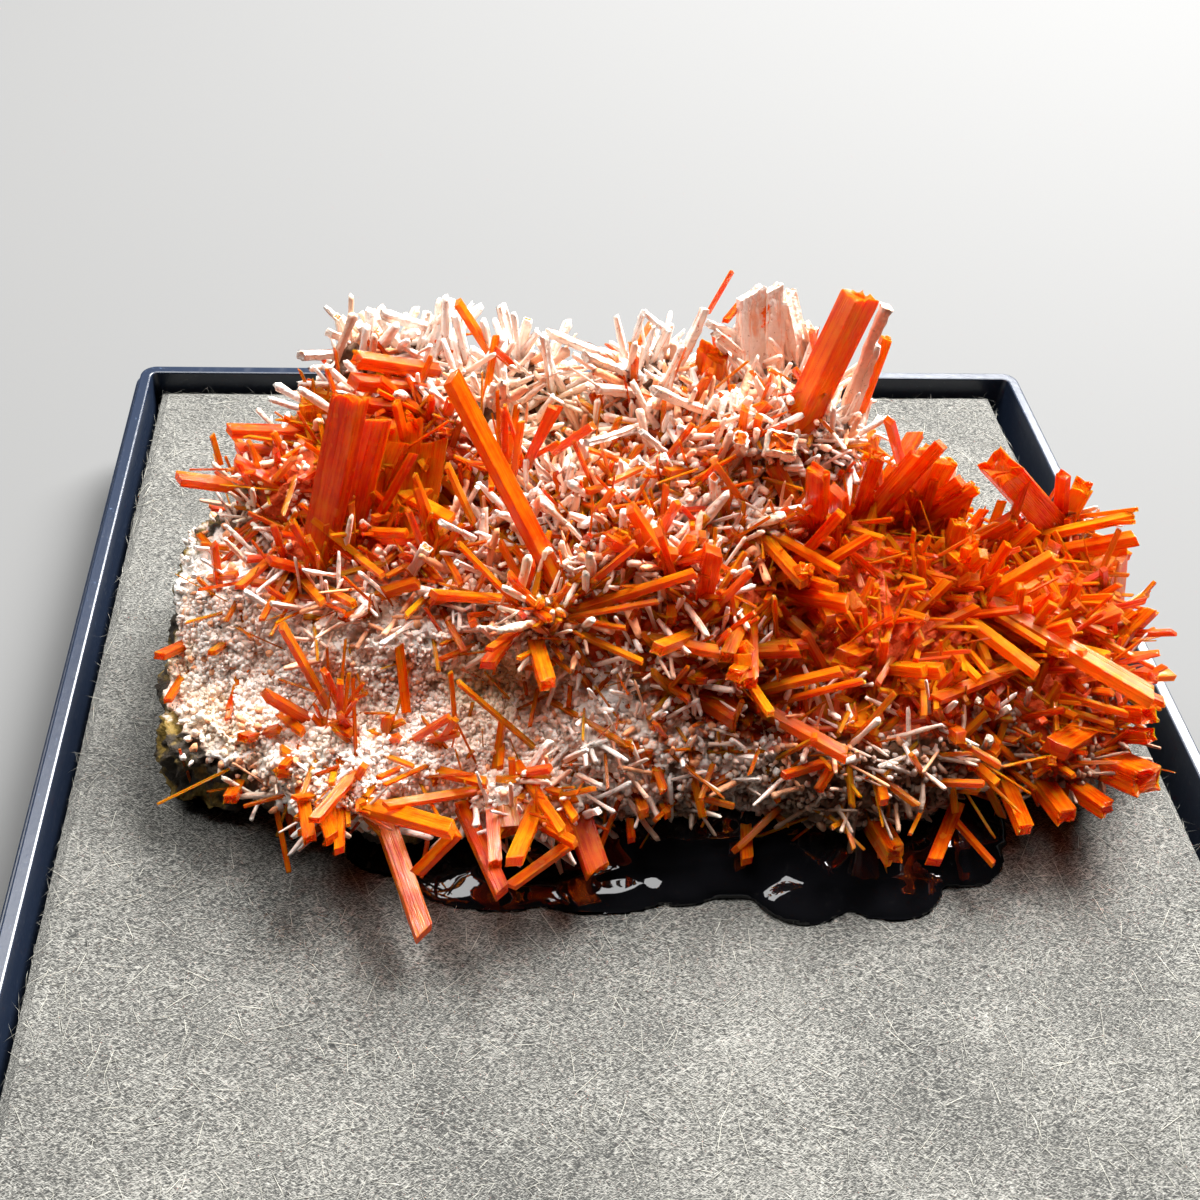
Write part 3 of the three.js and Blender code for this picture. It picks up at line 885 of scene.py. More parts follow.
class PrismMaker:
    """Grows striated four-sided prisms into a store."""

    slope = 0.45
    chamfer = 0.09
    groove = 0.11
    taper = 0.02
    roughness = 0.006
    strip_limits = (0.45, 0.9)
    pattern_shift = 50
    # How much painted golden glint each kind of end gets near its tip.
    tip_glint = {End.OBLIQUE: 0.1, End.BROKEN: 0.4, End.STEPPED: 0.4}
    smooth = False

    def __init__(self, store: MeshStore, seed: int) -> None:
        """Keeps the store and starts the fixed row of random numbers."""
        self.store = store
        self.random = np.random.default_rng(seed)

    def section(self, half_wide: float, half_thick: float, strips: int) -> tuple[np.ndarray, np.ndarray]:
        """Draws a rectangle with chamfered corners whose sides carry shallow lengthwise grooves.

        Args:
            half_wide: Half of the width.
            half_thick: Half of the thickness.
            strips: Number of strips on each side.

        Returns:
            The outline's points as (points, 2), and 1 for each point at a corner, else 0.
        """
        points: list[tuple[float, float]] = []
        corner: list[float] = []
        chamfer = self.chamfer * min(half_wide, half_thick) * self.random.uniform(0.6, 1.6)
        corners = np.array(((1, -1), (1, 1), (-1, 1), (-1, -1))) * (half_wide, half_thick)
        outward = np.array(((1, 0), (0, 1), (-1, 0), (0, -1)))
        for first, last, out in zip(corners, np.roll(corners, -1, axis=0), outward):
            run = last - first
            reach = float(np.linalg.norm(run))
            grooves = np.sort(self.random.uniform(0.12, 0.88, strips - 1))
            stops = np.concatenate(([chamfer / reach], grooves, [1 - chamfer / reach]))
            for k, stop in enumerate(stops):
                inner = 0 < k < len(stops) - 1
                dip = self.random.uniform(0.0, self.groove) * min(half_wide, half_thick) if inner else 0.0
                points.append(tuple(first + run * stop - out * dip))
                corner.append(0.0 if inner else 1.0)
        return np.array(points), np.array(corner)

    def grow(self, crystal: Crystal) -> None:
        """Grows one crystal.

        Args:
            crystal: The crystal's place, size and looks.
        """
        half_wide = crystal.wide / 2
        strips = 2 + sum(crystal.wide >= limit for limit in self.strip_limits)
        outline, corner = self.section(half_wide, half_wide * crystal.flat, strips)
        rings = self._rings(crystal, outline)
        sides = np.linalg.norm(np.diff(outline, axis=0, append=outline[:1]), axis=1)
        around = np.concatenate(([0.0], np.cumsum(sides))) + self.random.uniform(0, self.pattern_shift)
        along = rings[:, :, 2].mean(axis=1) + self.random.uniform(0, self.pattern_shift)
        share = np.clip(rings[:, :, 2] / crystal.length(), 0.0, 1.0)
        # Painted glint: the last few per cent toward the tip turn more golden.
        tip_glint_share = np.clip((share - 0.93) / 0.07, 0.0, 1.0) * self.tip_glint[crystal.end]
        paint = {
            "tint": crystal.tint + self.random.normal(0.0, 0.05) - tip_glint_share,
            "coat": crystal.coat * np.clip(1.15 - share * 2.2, 0.0, 1.0),
            "edge": np.broadcast_to(corner, share.shape),
            "bare": np.zeros_like(share),
        }
        self.store.add_tube(crystal.lay(rings), along, around, paint)

    def _end(self, crystal: Crystal, outline: np.ndarray) -> np.ndarray:
        """Shapes the rim of the crystal's end.

        Args:
            crystal: The crystal's size and end.
            outline: The points of its section.

        Returns:
            The height over the tip at each point, below 0 where it is lower.
        """
        half_wide, count = crystal.wide / 2, len(outline)
        slanted = -self.slope * (outline[:, 0] + half_wide)
        if crystal.end is End.BROKEN:
            return slanted * 0.5 - self.random.uniform(0.0, 0.55, count) * half_wide
        if crystal.end is End.STEPPED:
            return slanted * 0.7 - np.repeat(self.random.uniform(0.0, 0.7, count), 2)[:count] * half_wide
        return slanted

    def _rings(self, crystal: Crystal, outline: np.ndarray) -> np.ndarray:
        """Draws the crystal's rings upwards from the origin.

        Args:
            crystal: The crystal's size and end.
            outline: The points of its section.

        Returns:
            Points in order round each ring, as (rings, points, 3).
        """
        rng, length, count = self.random, crystal.length(), len(outline)
        end = self._end(crystal, outline)
        ledge = rng.uniform(0.3, 0.8)
        drawn_in = rng.uniform(0.0, 0.07) * (rng.random(count) < 0.3)
        rings = []
        for share in (*np.linspace(0.0, 0.88, 4 + int(length / 3)), 0.96):
            growth = 1.0 - self.taper * share - drawn_in * (share > ledge)
            ring = outline * (growth * (1.0 + rng.normal(0.0, self.roughness, count)))[:, None]
            height = share * length + end * max(0.0, share - 0.7) * 2.5
            rings.append(np.column_stack((ring, height)))
        top = rings[-1][:, :2]
        rings.append(np.column_stack((top * 0.99, length + end - 0.04 * crystal.wide)))
        rings.append(np.column_stack((top * 0.93, length + end)))
        if crystal.end is not End.OBLIQUE:
            crumbs = rng.uniform(-0.35, 0.1, count) * crystal.wide / 2
            rings.append(np.column_stack((top * 0.55, length + end.mean() + crumbs)))
        return np.array(rings)


class CoatedMaker(PrismMaker):
    """Grows crystals under an uneven crust, blunt or with a square core at the end."""

    chamfer = 0.32
    smooth = True
    lumpy = 0.1
    strips = 4
    ring_gap = 0.45
    most_rings = 64

    def grow(self, crystal: Crystal) -> None:
        """Grows one coated crystal.

        Args:
            crystal: The crystal's place, size and looks; End.OBLIQUE leaves its core bare at the tip.
        """
        rng, length, half_wide = self.random, crystal.length(), crystal.wide / 2
        outline, _ = self.section(half_wide, half_wide * crystal.flat, self.strips)
        count = len(outline)
        columns = rng.choice((0.0, 0.5), count, p=(0.75, 0.25))
        slant = -0.3 * (outline[:, 0] + half_wide)
        rings, bare = [], []
        drift = np.cumsum(rng.normal(0.0, 0.35 * self.lumpy * crystal.wide, (self.most_rings, 2)), axis=0)
        for number, share in enumerate(np.linspace(0.0, 1.0, max(6, int(length / self.ring_gap)))):
            knobs = 1.0 + rng.normal(0.0, self.lumpy) + rng.normal(0.0, 0.045, count) - 0.05 * share
            ring = outline * knobs[:, None] + drift[number] * min(1.0, share * 3.0)
            rings.append(np.column_stack((ring, share * length + slant * share)))
            bare.append(np.clip(columns + rng.normal(-0.15, 0.22, count), 0.0, 0.65))
        rim = rings[-1]
        middle = rim[:, :2].mean(axis=0)
        core = 1.0 if crystal.end is End.OBLIQUE else 0.25
        for inset, rise, open_share in ((0.86, 0.04, 0.0), (0.72, 0.02, core), (0.4, 0.0, core)):
            ring = middle + (rim[:, :2] - middle) * inset * (1.0 + rng.normal(0.0, 0.03, count))[:, None]
            crumbs = rng.normal(0.0, 0.04, count) * crystal.wide
            rings.append(np.column_stack((ring, rim[:, 2] + rise * crystal.wide + crumbs)))
            bare.append(np.full(count, open_share))
        local = np.array(rings)
        shape = local.shape[:2]
        paint = {
            "tint": np.full(shape, crystal.tint), "bare": np.array(bare), "edge": np.zeros(shape),
            "coat": np.ones(shape),
        }
        around = np.linspace(0.0, 4 * crystal.wide, count + 1)
        self.store.add_tube(crystal.lay(local), local[:, :, 2].mean(axis=1), around, paint)


class PlateMaker(CoatedMaker):
    """Grows coated crystals that keep their sharp edges and straight sides."""

    chamfer = 0.12
    smooth = False
    lumpy = 0.015


O, B, S = End.OBLIQUE, End.BROKEN, End.STEPPED

# Each row: foot, tip, width, tint, thickness share, end, crust near the foot. Left out: 0.8, O and 0.1.
ORANGE_GROUPS: dict[str, list[tuple]] = {
    "left_blades": [
        ((-21, 3.3, 17), (-17.9, 7.3, 29.5), 2.1, 0.82, 0.5, B),
        ((-19.3, 5, 17), (-16.5, 7.5, 27.6), 1.8, 0.6, 0.45),
        ((-17.6, 4.5, 20), (-14.4, 6.5, 25.5), 0.48, 0.8),
        ((-18.4, 5.5, 20), (-14.8, 1.5, 23.5), 0.54, 0.45, 0.8, O, 0.3),
        ((-22, 7.3, 18), (-24.9, 1.1, 19.5), 0.48, 0.35, 0.8, O, 0.2),
        ((-22, 4.4, 18.5), (-23.4, -1.1, 19), 0.34, 0.3, 0.8, O, 0.2),
        ((-22.2, 4.4, 18), (-19.7, -1.2, 20.5), 0.49, 0.35, 0.8, O, 0.2),
        ((-19.2, 5.5, 19), (-16.2, -1, 22.5), 0.41, 0.35, 0.8, O, 0.4),
        ((-13.2, 3.6, 22), (-14.4, 4.5, 25.5), 0.33, 0.25, 0.8, O, 0.2),
        ((-10.9, 4, 22), (-12.5, 4.8, 26), 0.4, 0.12, 0.8, O, 0.2),
        ((-15.3, 6.8, 22), (-12.1, 2.6, 23.5), 0.87, 0.3, 0.5),
        ((-18.5, 6.1, 17.5), (-15.2, 8.4, 25), 1.31, 0.5, 0.4),
        ((-21.3, 6.7, 17), (-22.8, 7.5, 20.5), 1.27, 0.75, 0.5),
        ((-14.5, 4, 19.5), (-15.9, 6.8, 22.5), 0.74, 0.45, 0.5),
        ((-15.7, 6.0, 21.0), (-15.2, 10.0, 25.5), 2.7, 0.42, 0.16),
        ((-13.9, 6.5, 21.5), (-13.2, 8.7, 25.0), 1.7, 0.3, 0.2),
    ],
    "left_bars": [
        ((-19.5, 12.6, 22), (-26.4, 12.2, 22.5), 0.81, 0.72, 0.9),
        ((-23.9, 11, 18.5), (-29.7, 10.5, 20), 0.84, 0.55, 0.8, O, 0.5),
        ((-20.8, 7.6, 20), (-25.7, 9.3, 22.5), 0.8, 0.6, 0.9, O, 0.45),
        ((-23.8, 8.5, 17.6), (-24.5, 7.8, 21), 0.46, 0.7, 0.8, O, 0.2),
        ((-21, 13.5, 20), (-20.7, 13.5, 24.5), 2.19, 0.15, 0.45, S),
        ((-19.8, 11.9, 20.5), (-26.1, 12.1, 21), 1.04, 0.4, 0.6),
        ((-27.4, 13.6, 18.5), (-27.8, 14.4, 20.5), 0.38, 0.12, 0.8, O, 0.2),
        ((-22.3, 11.6, 19.5), (-24.2, 13, 21.5), 0.74, 0.3, 0.6),
    ],
    "stacked_blades": [
        ((-13, 14.5, 25.5), (-18.3, 13.1, 27.5), 0.88, 0.5, 1, S, 0.3),
        ((-13, 13.8, 24.5), (-18.4, 12.1, 26.5), 0.92, 0.55, 1, O, 0.2),
        ((-13.3, 12.8, 23.5), (-17.9, 11.1, 25.5), 0.86, 0.6, 1, S, 0.3),
        ((-12.7, 11, 22.5), (-17.1, 9.4, 25), 1.4, 0.65, 0.9, B, 0.3),
        ((-12.2, 9.5, 22), (-15.2, 8.6, 24), 1.22, 0.55, 0.6),
    ],
    "long_prism": [
        ((-5.7, -0.5, 20.5), (-12.3, 6.9, 31), 1, 0.46, 0.95, O, 0),
    ],
    "centre_star": [
        ((-7.6, 0.3, 19), (-13.4, -3.5, 23.5), 0.56, 0.4, 0.9),
        ((-8.1, -1.2, 19), (-10.4, -5.9, 20), 0.85, 0.6, 0.7),
        ((-7.6, -1.5, 18.5), (-7, -8.3, 21), 0.96, 0.35, 0.8, S),
        ((-6.4, -1.2, 19), (1.5, -3.4, 25), 0.58, 0.38),
        ((-5.7, -0.7, 19.5), (-1.9, -2.2, 26), 0.45, 0.5),
        ((-4.7, 0.7, 21), (-2, -0.4, 25), 0.43, 0.5),
        ((-6.1, -1.6, 19), (-1.5, -6.6, 21), 0.37, 0.25, 0.8, O, 0.2),
        ((-6.1, -0.9, 18.5), (3.2, -5.5, 20.5), 0.71, 0.5),
        ((-7.1, -1.9, 19), (-11.9, -0.4, 24.5), 0.35, 0.35),
        ((-6.3, -2.3, 20), (-0.5, -3.7, 23), 0.33, 0.35),
        ((-5.7, -2.1, 20), (-2.3, -4.4, 21.5), 0.29, 0.2),
        ((-7.2, -1.7, 20), (-9, -0.8, 22.5), 0.43, 0.5),
        ((-6.3, -3.5, 18), (-5.4, -5.5, 19), 0.25, 0.3),
        ((-6.9, -1.8, 19.5), (-5.5, -2.2, 23), 0.42, 0.3),
    ],
    "back_prisms": [
        ((9, 9.5, 22), (12, 10.1, 35), 1.99, 0.5, 0.85, B, 0.3),
        ((14.1, 11.7, 22.5), (14.9, 11.9, 30.5), 0.71, 0.4, 0.8, B, 0.6),
    ],
    "red_blade": [
        ((4.5, 13.5, 24), (4.2, 12.8, 29), 2.0, 0.65, 0.5, S, 0.5),
    ],
    "right_blades": [
        ((10.9, 4.4, 19.5), (9, 2.1, 28), 1.29, 0.5, 0.6, B),
        ((12.5, 4.6, 19.5), (10.9, 3.1, 25.5), 1.15, 0.6, 0.6),
        ((13.8, 6.3, 19.5), (13.2, 4.1, 27.5), 0.94, 0.62, 0.8, S),
        ((6.5, 3.3, 22), (7.9, -3.5, 24), 0.74, 0.35, 0.8, O, 0.3),
        ((6.9, 2.7, 22.5), (10.2, -2.5, 24), 0.54, 0.3, 0.8, O, 0.75),
    ],
    "right_spray": [
        ((14.6, 6.5, 19), (16.9, 3.9, 28.5), 1, 0.62),
        ((18, 7.5, 18.5), (18.3, 5.8, 26), 1.84, 0.35, 0.5, S),
        ((17.9, 7.4, 19), (19.6, 5.2, 24.5), 1.12, 0.62),
        ((17.7, 8.9, 21), (13.8, 5.4, 29), 0.56, 0.4, 0.8, O, 0.4),
        ((18.9, 6, 19), (19, -0.3, 22), 0.7, 0.5),
        ((20.2, 5.9, 18), (19.9, 5, 24), 1.17, 0.5, 0.6),
        ((15.7, 8.2, 20.5), (13, 4.8, 26.5), 0.99, 0.3, 0.5, B, 0.3),
    ],
    "glassy_prism": [
        ((28.6, 8.8, 17.5), (21.9, 6, 25), 2.2, 0.6, 0.9, B, 0),
        ((29.7, 9.3, 17), (27.4, 7.5, 23), 0.82, 0.75, 0.8, B, 0),
        ((30.7, 10.1, 17), (29.5, 8.2, 21.5), 1.25, 0.3, 0.8, B, 0),
    ],
    "right_bundle": [
        ((31.6, 2.8, 12.5), (30.1, 4.2, 19.5), 3.16, 0.42, 0.8, S, 0.2),
        ((25.6, 7.7, 16.5), (31.3, 4, 22.5), 0.67, 0.1, 0.8, S),
        ((26, 6.6, 16), (31.8, 3.5, 21), 0.91, 0.4, 0.9),
        ((25.8, 2.8, 16), (29, -0.5, 19), 0.4, 0.2),
        ((25.4, 2.2, 15.5), (29.5, -1.8, 17.5), 0.44, 0.25),
        ((21.3, 2.9, 18), (28.7, -2.1, 18), 0.58, 0.55),
        ((30.1, 8.7, 18), (31.2, 4, 23), 0.39, 0.05, 0.8, S),
        ((29.5, 8, 18), (30.5, 2.8, 23), 0.36, 0.05, 0.8, S),
    ],
    "right_bars": [
        ((19.6, 2, 18.5), (29.1, -8.4, 19), 1.09, 0.18, 0.9, O, 0.2),
        ((19.6, 2.2, 18), (23.5, -4.5, 19.5), 0.46, 0.15),
        ((18.4, 1.4, 18), (22, -7.1, 20), 0.75, 0.35, 0.9, O, 0.3),
        ((17.1, -0.3, 17.5), (18.8, -6.7, 19), 0.47, 0.3, 0.8, O, 0.8),
    ],
    "right_end": [
        ((28.9, -5.2, 13), (23.6, -9.3, 15.5), 1.51, 0.6, 0.7, O, 0.2),
        ((28.6, -6.5, 11), (29.2, -11.5, 15), 2.12, 0.65, 0.8, B, 0),
        ((25.9, -8, 11), (27.1, -12.1, 13), 1.16, 0.7, 0.8, B),
        ((24.2, -7.4, 11), (24.3, -12.6, 13), 1.31, 0.6, 0.8, B),
        ((22.2, -7.3, 11), (21.4, -13.5, 13), 0.99, 0.5, 0.8, S),
        ((30, -5.7, 14.5), (30.1, -7.6, 16.5), 1.28, 0.7, 0.8, B),
        ((29.7, -6.7, 13.5), (30.3, -8.4, 15.5), 1.01, 0.7, 0.8, B),
    ],
    "centre_bars": [
        ((5.7, -0.5, 19.5), (4.5, -7.7, 20), 1.1, 0.72, 0.8, B, 0),
        ((0.5, -2.5, 16), (4.5, -7.7, 17), 1.38, 0.75, 0.6),
        ((3.3, -3.6, 16), (10.4, -10.6, 17), 0.75, 0.42, 0.9),
        ((4.8, -5, 16), (10.1, -7, 20.5), 0.58, 0.38, 0.8, O, 0.2),
        ((5.7, -5.6, 15.5), (11.5, -7.3, 20), 0.38, 0.4, 0.8, S, 0.4),
        ((2.7, -0.9, 17.5), (2.6, -1.9, 25.5), 1.11, 0.72, 0.7),
        ((-0.2, 2.3, 17.5), (0.3, -1.5, 25), 1.05, 0.4, 0.5, O, 0.2),
        ((2.2, -2.6, 19.5), (4.8, -2.8, 24.5), 0.45, 0.55, 0.8, O, 0.2),
        ((6.5, -4.1, 18), (7.6, -4.8, 20.5), 0.65, 0.4, 0.8, O, 0.2),
        ((-1.7, -2.3, 17), (1.5, -7, 18), 0.48, 0.6),
        ((-1.1, -1.3, 18), (2.2, -4, 19), 0.6, 0.55),
    ],
    "centre_right_bars": [
        ((15.5, -0.9, 17), (10.7, -5.2, 19.5), 1.37, 0.52, 0.6),
        ((14.1, -4.1, 15.5), (11.3, -8.4, 16.5), 1.13, 0.42, 0.6),
        ((15, 0.7, 17.5), (9.9, -3.3, 20.5), 0.5, 0.25),
        ((14.6, -3.7, 15), (13.1, -7.1, 15.5), 0.44, 0.4, 0.8, S),
        ((13.4, 2.2, 19.5), (9.3, -3.8, 20.5), 0.39, 0.15),
    ],
    "ledge_spray": [
        ((-19.3, -4, 13), (-21.9, -3.3, 21), 0.5, 0.3),
        ((-20.2, -4.3, 13), (-23, -5.5, 17.5), 0.73, 0.5),
        ((-21.2, -3.7, 13.5), (-18.1, -6.9, 15.5), 0.5, 0.6),
        ((-17.2, -5.8, 12.5), (-18.8, -6.3, 16.5), 0.53, 0.75),
        ((-15.3, -6.3, 13.5), (-12.4, -7.8, 18), 0.48, 0.5),
        ((-15.2, -6, 13), (-11.9, -7.8, 16.5), 0.43, 0.5),
        ((-17.7, -5.5, 12.5), (-15.3, -7.2, 15.5), 0.48, 0.55),
        ((-22.8, -4, 14), (-20.9, -6.4, 15), 0.53, 0.6),
        ((-19, -4.1, 14.5), (-19.6, -4.6, 18.5), 0.46, 0.45),
        ((-15, -5.4, 15.5), (-15.4, -2.6, 18.5), 0.56, 0.5, 0.8, O, 0.3),
        ((-17.7, 1, 18.5), (-14.1, -0.5, 21.5), 0.73, 0.45),
        ((-15.9, 0.6, 18.5), (-18.8, -1.5, 19.5), 0.52, 0.5),
    ],
    "front_left_spray": [
        ((-19.4, -7.4, 12), (-22.6, -8.4, 14), 0.5, 0.4, 0.8, S),
        ((-21.3, -7.7, 12.5), (-20.3, -12.7, 13), 0.78, 0.45, 0.8, S, 0.5),
        ((-17, -6.9, 13.5), (-20.1, -12.3, 14.5), 0.62, 0.35),
        ((-20, -9.4, 12.5), (-19, -12.9, 13.5), 0.84, 0.45, 0.8, O, 0.6),
        ((-18.5, -9.1, 12), (-12.2, -14.5, 16.5), 1.02, 0.4, 0.7),
        ((-12.1, -13.6, 15), (-14.5, -14.7, 12.5), 0.67, 0.38),
        ((-17.2, -7.6, 12), (-13.9, -17.5, 10.5), 1.13, 0.5, 0.9),
        ((-15.1, -7.4, 13.2), (-10.3, -10.7, 15.5), 0.59, 0.45, 0.7),
        ((-10.3, -9.6, 13.5), (-16.2, -11.7, 15), 0.51, 0.35),
        ((-14.5, -8.5, 13.5), (-13.1, -11.9, 14), 0.19, 0.3),
        ((-16.6, -7.2, 14), (-14.5, -9.4, 15.5), 0.27, 0.15),
        ((-24.9, -7.2, 11.5), (-25.2, -9.3, 12.5), 0.76, 0.6, 0.8, B, 0.2),
        ((-23.7, -5.2, 13.5), (-24.5, -6.7, 15), 0.63, 0.55, 0.8, B, 0.2),
        ((-23.3, -5.5, 14), (-22.3, -6, 15), 0.53, 0.5, 0.8, B, 0.2),
        ((-21.1, -6.1, 13.5), (-22.1, -8.5, 14.5), 0.43, 0.45),
        ((-19.1, -6.7, 13), (-19.2, -9.8, 14.5), 0.4, 0.15),
    ],
    "front_spray": [
        ((-11.8, -10, 12.5), (-9.6, -16.5, 13), 0.92, 0.72, 0.9, O, 0),
        ((-7.3, -10.5, 13.5), (-9.1, -15.8, 15), 0.94, 0.42, 0.8, O, 0.55),
        ((-10.1, -10.3, 13.5), (-10, -15.1, 13.5), 0.79, 0.48, 0.8, S, 0.55),
        ((-5.4, -13, 13), (-9.3, -15.7, 12.5), 0.61, 0.55),
        ((-8.6, -8.2, 14), (-6.2, -13.9, 15), 0.6, 0.35, 0.8, S),
        ((-6.6, -9.1, 13.5), (-5.4, -12.7, 14.5), 0.49, 0.3),
        ((-5.1, -10.2, 12), (-4, -14.2, 11), 1.48, 0.82, 0.7, B),
        ((-6.5, -10, 12.5), (-5.7, -13.1, 13.5), 0.6, 0.5),
        ((-9, -9.4, 13.5), (-8.8, -12.7, 13), 1.93, 0.5, 0.6, B),
    ],
}

# The same for crystals under a crust. Left out: 1 and B.
COATED_GROUPS: dict[str, list[tuple]] = {
    "left_sprigs": [
        ((-17.8, 18, 24.5), (-21.6, 14.6, 26.5), 0.6, 0.3),
        ((-18.6, 18.5, 24), (-19.4, 17.6, 27.5), 0.44, 0.3, 1, O),
        ((-17.1, 17.4, 24.5), (-17.9, 17, 27.5), 0.61, 0.2),
        ((-15.1, 16.8, 24.5), (-16.7, 17.1, 28), 0.71, 0.15),
        ((-13.7, 16.6, 27.5), (-16.6, 16.6, 28.5), 0.57, 0.45),
        ((-13.5, 16.1, 25), (-12.3, 18.4, 28.5), 0.9, 0.25),
        ((-14.6, 17.2, 25), (-13.6, 17.6, 28), 0.45, 0.3),
        ((-11, 16, 25), (-11.9, 16.7, 28.5), 0.51, 0.3),
        ((-18.9, 17.4, 26), (-19.9, 16.6, 27), 0.47, 0.4),
        ((-15.3, 16.8, 26.5), (-14.2, 15.3, 28), 0.45, 0.3),
        ((-9.3, 15.1, 25), (-10.2, 16.1, 28.5), 0.45, 0.6),
    ],
    "back_sprigs": [
        ((-7.8, 15.6, 24.5), (-8.9, 17.8, 28.5), 0.66, 0.55),
        ((-8, 16.3, 24.5), (-7.3, 16.2, 28.5), 0.6, 0.5, 1, O),
        ((-5.6, 13.5, 24), (-6.5, 12.4, 30), 0.5, 0.35),
        ((-8.1, 16.1, 25), (-6.7, 14.7, 28.5), 0.43, 0.3),
    ],
    "back_blades": [
        ((-0.6, 15.2, 26), (-6.1, 14.7, 28.5), 0.71, 0.6, 0.7),
        ((1.2, 13.7, 25.5), (-4, 12, 28.5), 0.75, 0.35, 0.8),
        ((0.8, 14.5, 26.5), (1.3, 14.1, 29.5), 0.56, 0.3, 0.9),
        ((-0.7, 13.7, 28.5), (-0.1, 14.4, 30.5), 0.36, 0.25),
        ((1.2, 13.8, 29.5), (-0.2, 14.1, 30.5), 0.36, 0.3),
        ((1.4, 14.4, 27), (1.7, 14.4, 29.5), 0.35, 0.3, 0.9),
        ((4.8, 10.2, 25.5), (-0, 8.7, 28.5), 0.62, 0.4, 0.9),
        ((0.1, 12.3, 25.5), (-3.3, 10.2, 27.5), 0.58, 0.6),
        ((0.5, 10.1, 25), (-4.2, 5.5, 27), 0.42, 0.5),
        ((1.7, 7.3, 24), (-1, 6.1, 27.5), 0.37, 0.3),
        ((-5, 13.3, 25), (-6.6, 13.6, 28.5), 0.43, 0.45),
        ((2.1, 13.7, 25.6), (3.6, 13.9, 31), 0.65, 0.45, 0.8),
    ],
    "upright_blades": [
        ((7.4, 13.2, 25), (6.7, 15.4, 31.5), 1.9, 0.45, 0.45),
        ((8.8, 13.2, 25), (8.1, 15.7, 31.6), 1.3, 0.4, 0.6),
        ((11.1, 14.2, 25), (9.1, 15.6, 31), 1.5, 0.45, 0.5),
        ((10.3, 13.7, 25), (8.5, 15.6, 31), 0.62, 0.55, 0.7),
        ((6.1, 13.4, 28), (4.2, 12.6, 30), 0.64, 0.6, 0.9),
        ((5.7, 14.1, 29), (3.7, 12.9, 30.5), 0.49, 0.5, 0.9),
        ((12.2, 14.8, 24.5), (10.6, 14.4, 29.4), 1.2, 0.5, 0.5),
    ],
}

SQUARE_ENDS = [((8.6, 9.1, 23.5), (7.1, 3.8, 28.5), 1.99, 0.2, 0.75, O)]
LONE_COATED = [
    ((5.8, 7.3, 25), (4.9, 4.8, 28), 0.78, 0.3, 1, O),
    ((12.9, 10.8, 24), (13.8, 10.8, 33.5), 0.69, 0.75, 0.8),
    ((13.5, 10.8, 24), (14.1, 10.9, 30.5), 0.52, 0.5, 0.8),
    ((1.5, 5.5, 24), (0.4, 5.6, 26), 0.47, 0.4),
    ((3.9, 4.1, 23), (3.4, 3.6, 26), 0.58, 0.3, 1, O),
    ((6.9, 5.4, 23), (6.5, 4, 22), 0.8, 0.35),
    ((7.3, 6.7, 24), (9.4, 5.8, 25), 0.3, 0.2),
    ((6.1, 3.9, 23), (9, 3.2, 24), 0.27, 0.25),
    ((-5.4, 5, 23), (-5.1, 4.8, 26), 0.5, 0.5),
    ((-5.9, 4.3, 22.5), (-7.4, 3.5, 24), 0.38, 0.4),
    ((-10.9, 3.2, 21.5), (-12.9, 1.9, 24), 0.36, 0.3),
    ((-14.6, 1.4, 20.5), (-13.6, 0.9, 23), 0.73, 0.45, 1, O),
    ((-16.6, 4.9, 20), (-17.6, 4.1, 22), 0.41, 0.4),
    ((-10.2, 1.5, 20), (-12, 0.1, 22.5), 0.32, 0.3),
    ((-11.3, 5.5, 22), (-10.7, 4.5, 24.5), 0.31, 0.6),
    ((-27.5, 6.4, 15.5), (-28.7, 3.4, 17.5), 0.3, 0.3),
    ((-26.4, 6.5, 16), (-28, 3.6, 18), 0.34, 0.35),
    ((-26.2, 7.4, 16.5), (-28.1, 5.7, 18.5), 0.27, 0.3),
    ((-21.1, 0.3, 18.5), (-22.9, -0.2, 19.5), 0.32, 0.7),
    ((-22.8, 1.3, 16.5), (-21.4, -0.1, 17.5), 0.36, 0.6),
    ((-23.7, 0.4, 15.5), (-23.9, 0.2, 17.5), 0.39, 0.55),
    ((-5.8, -8.8, 15), (-4.6, -9.2, 16.5), 0.31, 0.4),
    ((-5.1, -9.5, 14.5), (-3.7, -10.4, 14.5), 0.31, 0.4),
    ((-7.8, -9.1, 14.5), (-6.7, -8.5, 16.5), 0.42, 0.3),
    ((-6.2, -5.7, 15.5), (-5.6, -7.1, 15.5), 0.27, 0.4),
    ((-5.2, -7.8, 14.5), (-3.3, -8.1, 16), 0.26, 0.35),
    ((-5.2, -8.8, 13.5), (-3.3, -9.5, 13), 0.32, 0.35),
    ((-4.6, -10.6, 12), (-4, -11.6, 14), 0.46, 0.3),
    ((4, -8, 14), (5.7, -9, 15), 0.3, 0.3),
    ((4, -9, 13), (5.8, -9.8, 14), 0.2, 0.4),
    ((15.5, -2.5, 16.5), (13.6, -3.7, 18), 0.24, 0.3),
    ((11.2, -5.8, 14.5), (10.8, -5.3, 16), 0.28, 0.3),
    ((14.1, -5.9, 15), (13.7, -6.7, 17), 0.4, 0.25),
    ((20, -5.8, 15), (19.3, -6.5, 17), 0.39, 0.2),
    ((20.8, -6.3, 15), (21.1, -7.1, 17), 0.43, 0.2),
    ((20.1, -8, 14), (19.7, -8.6, 16), 0.54, 0.2),
    ((23.2, -5.5, 15), (22.9, -5.6, 17), 0.31, 0.3),
]

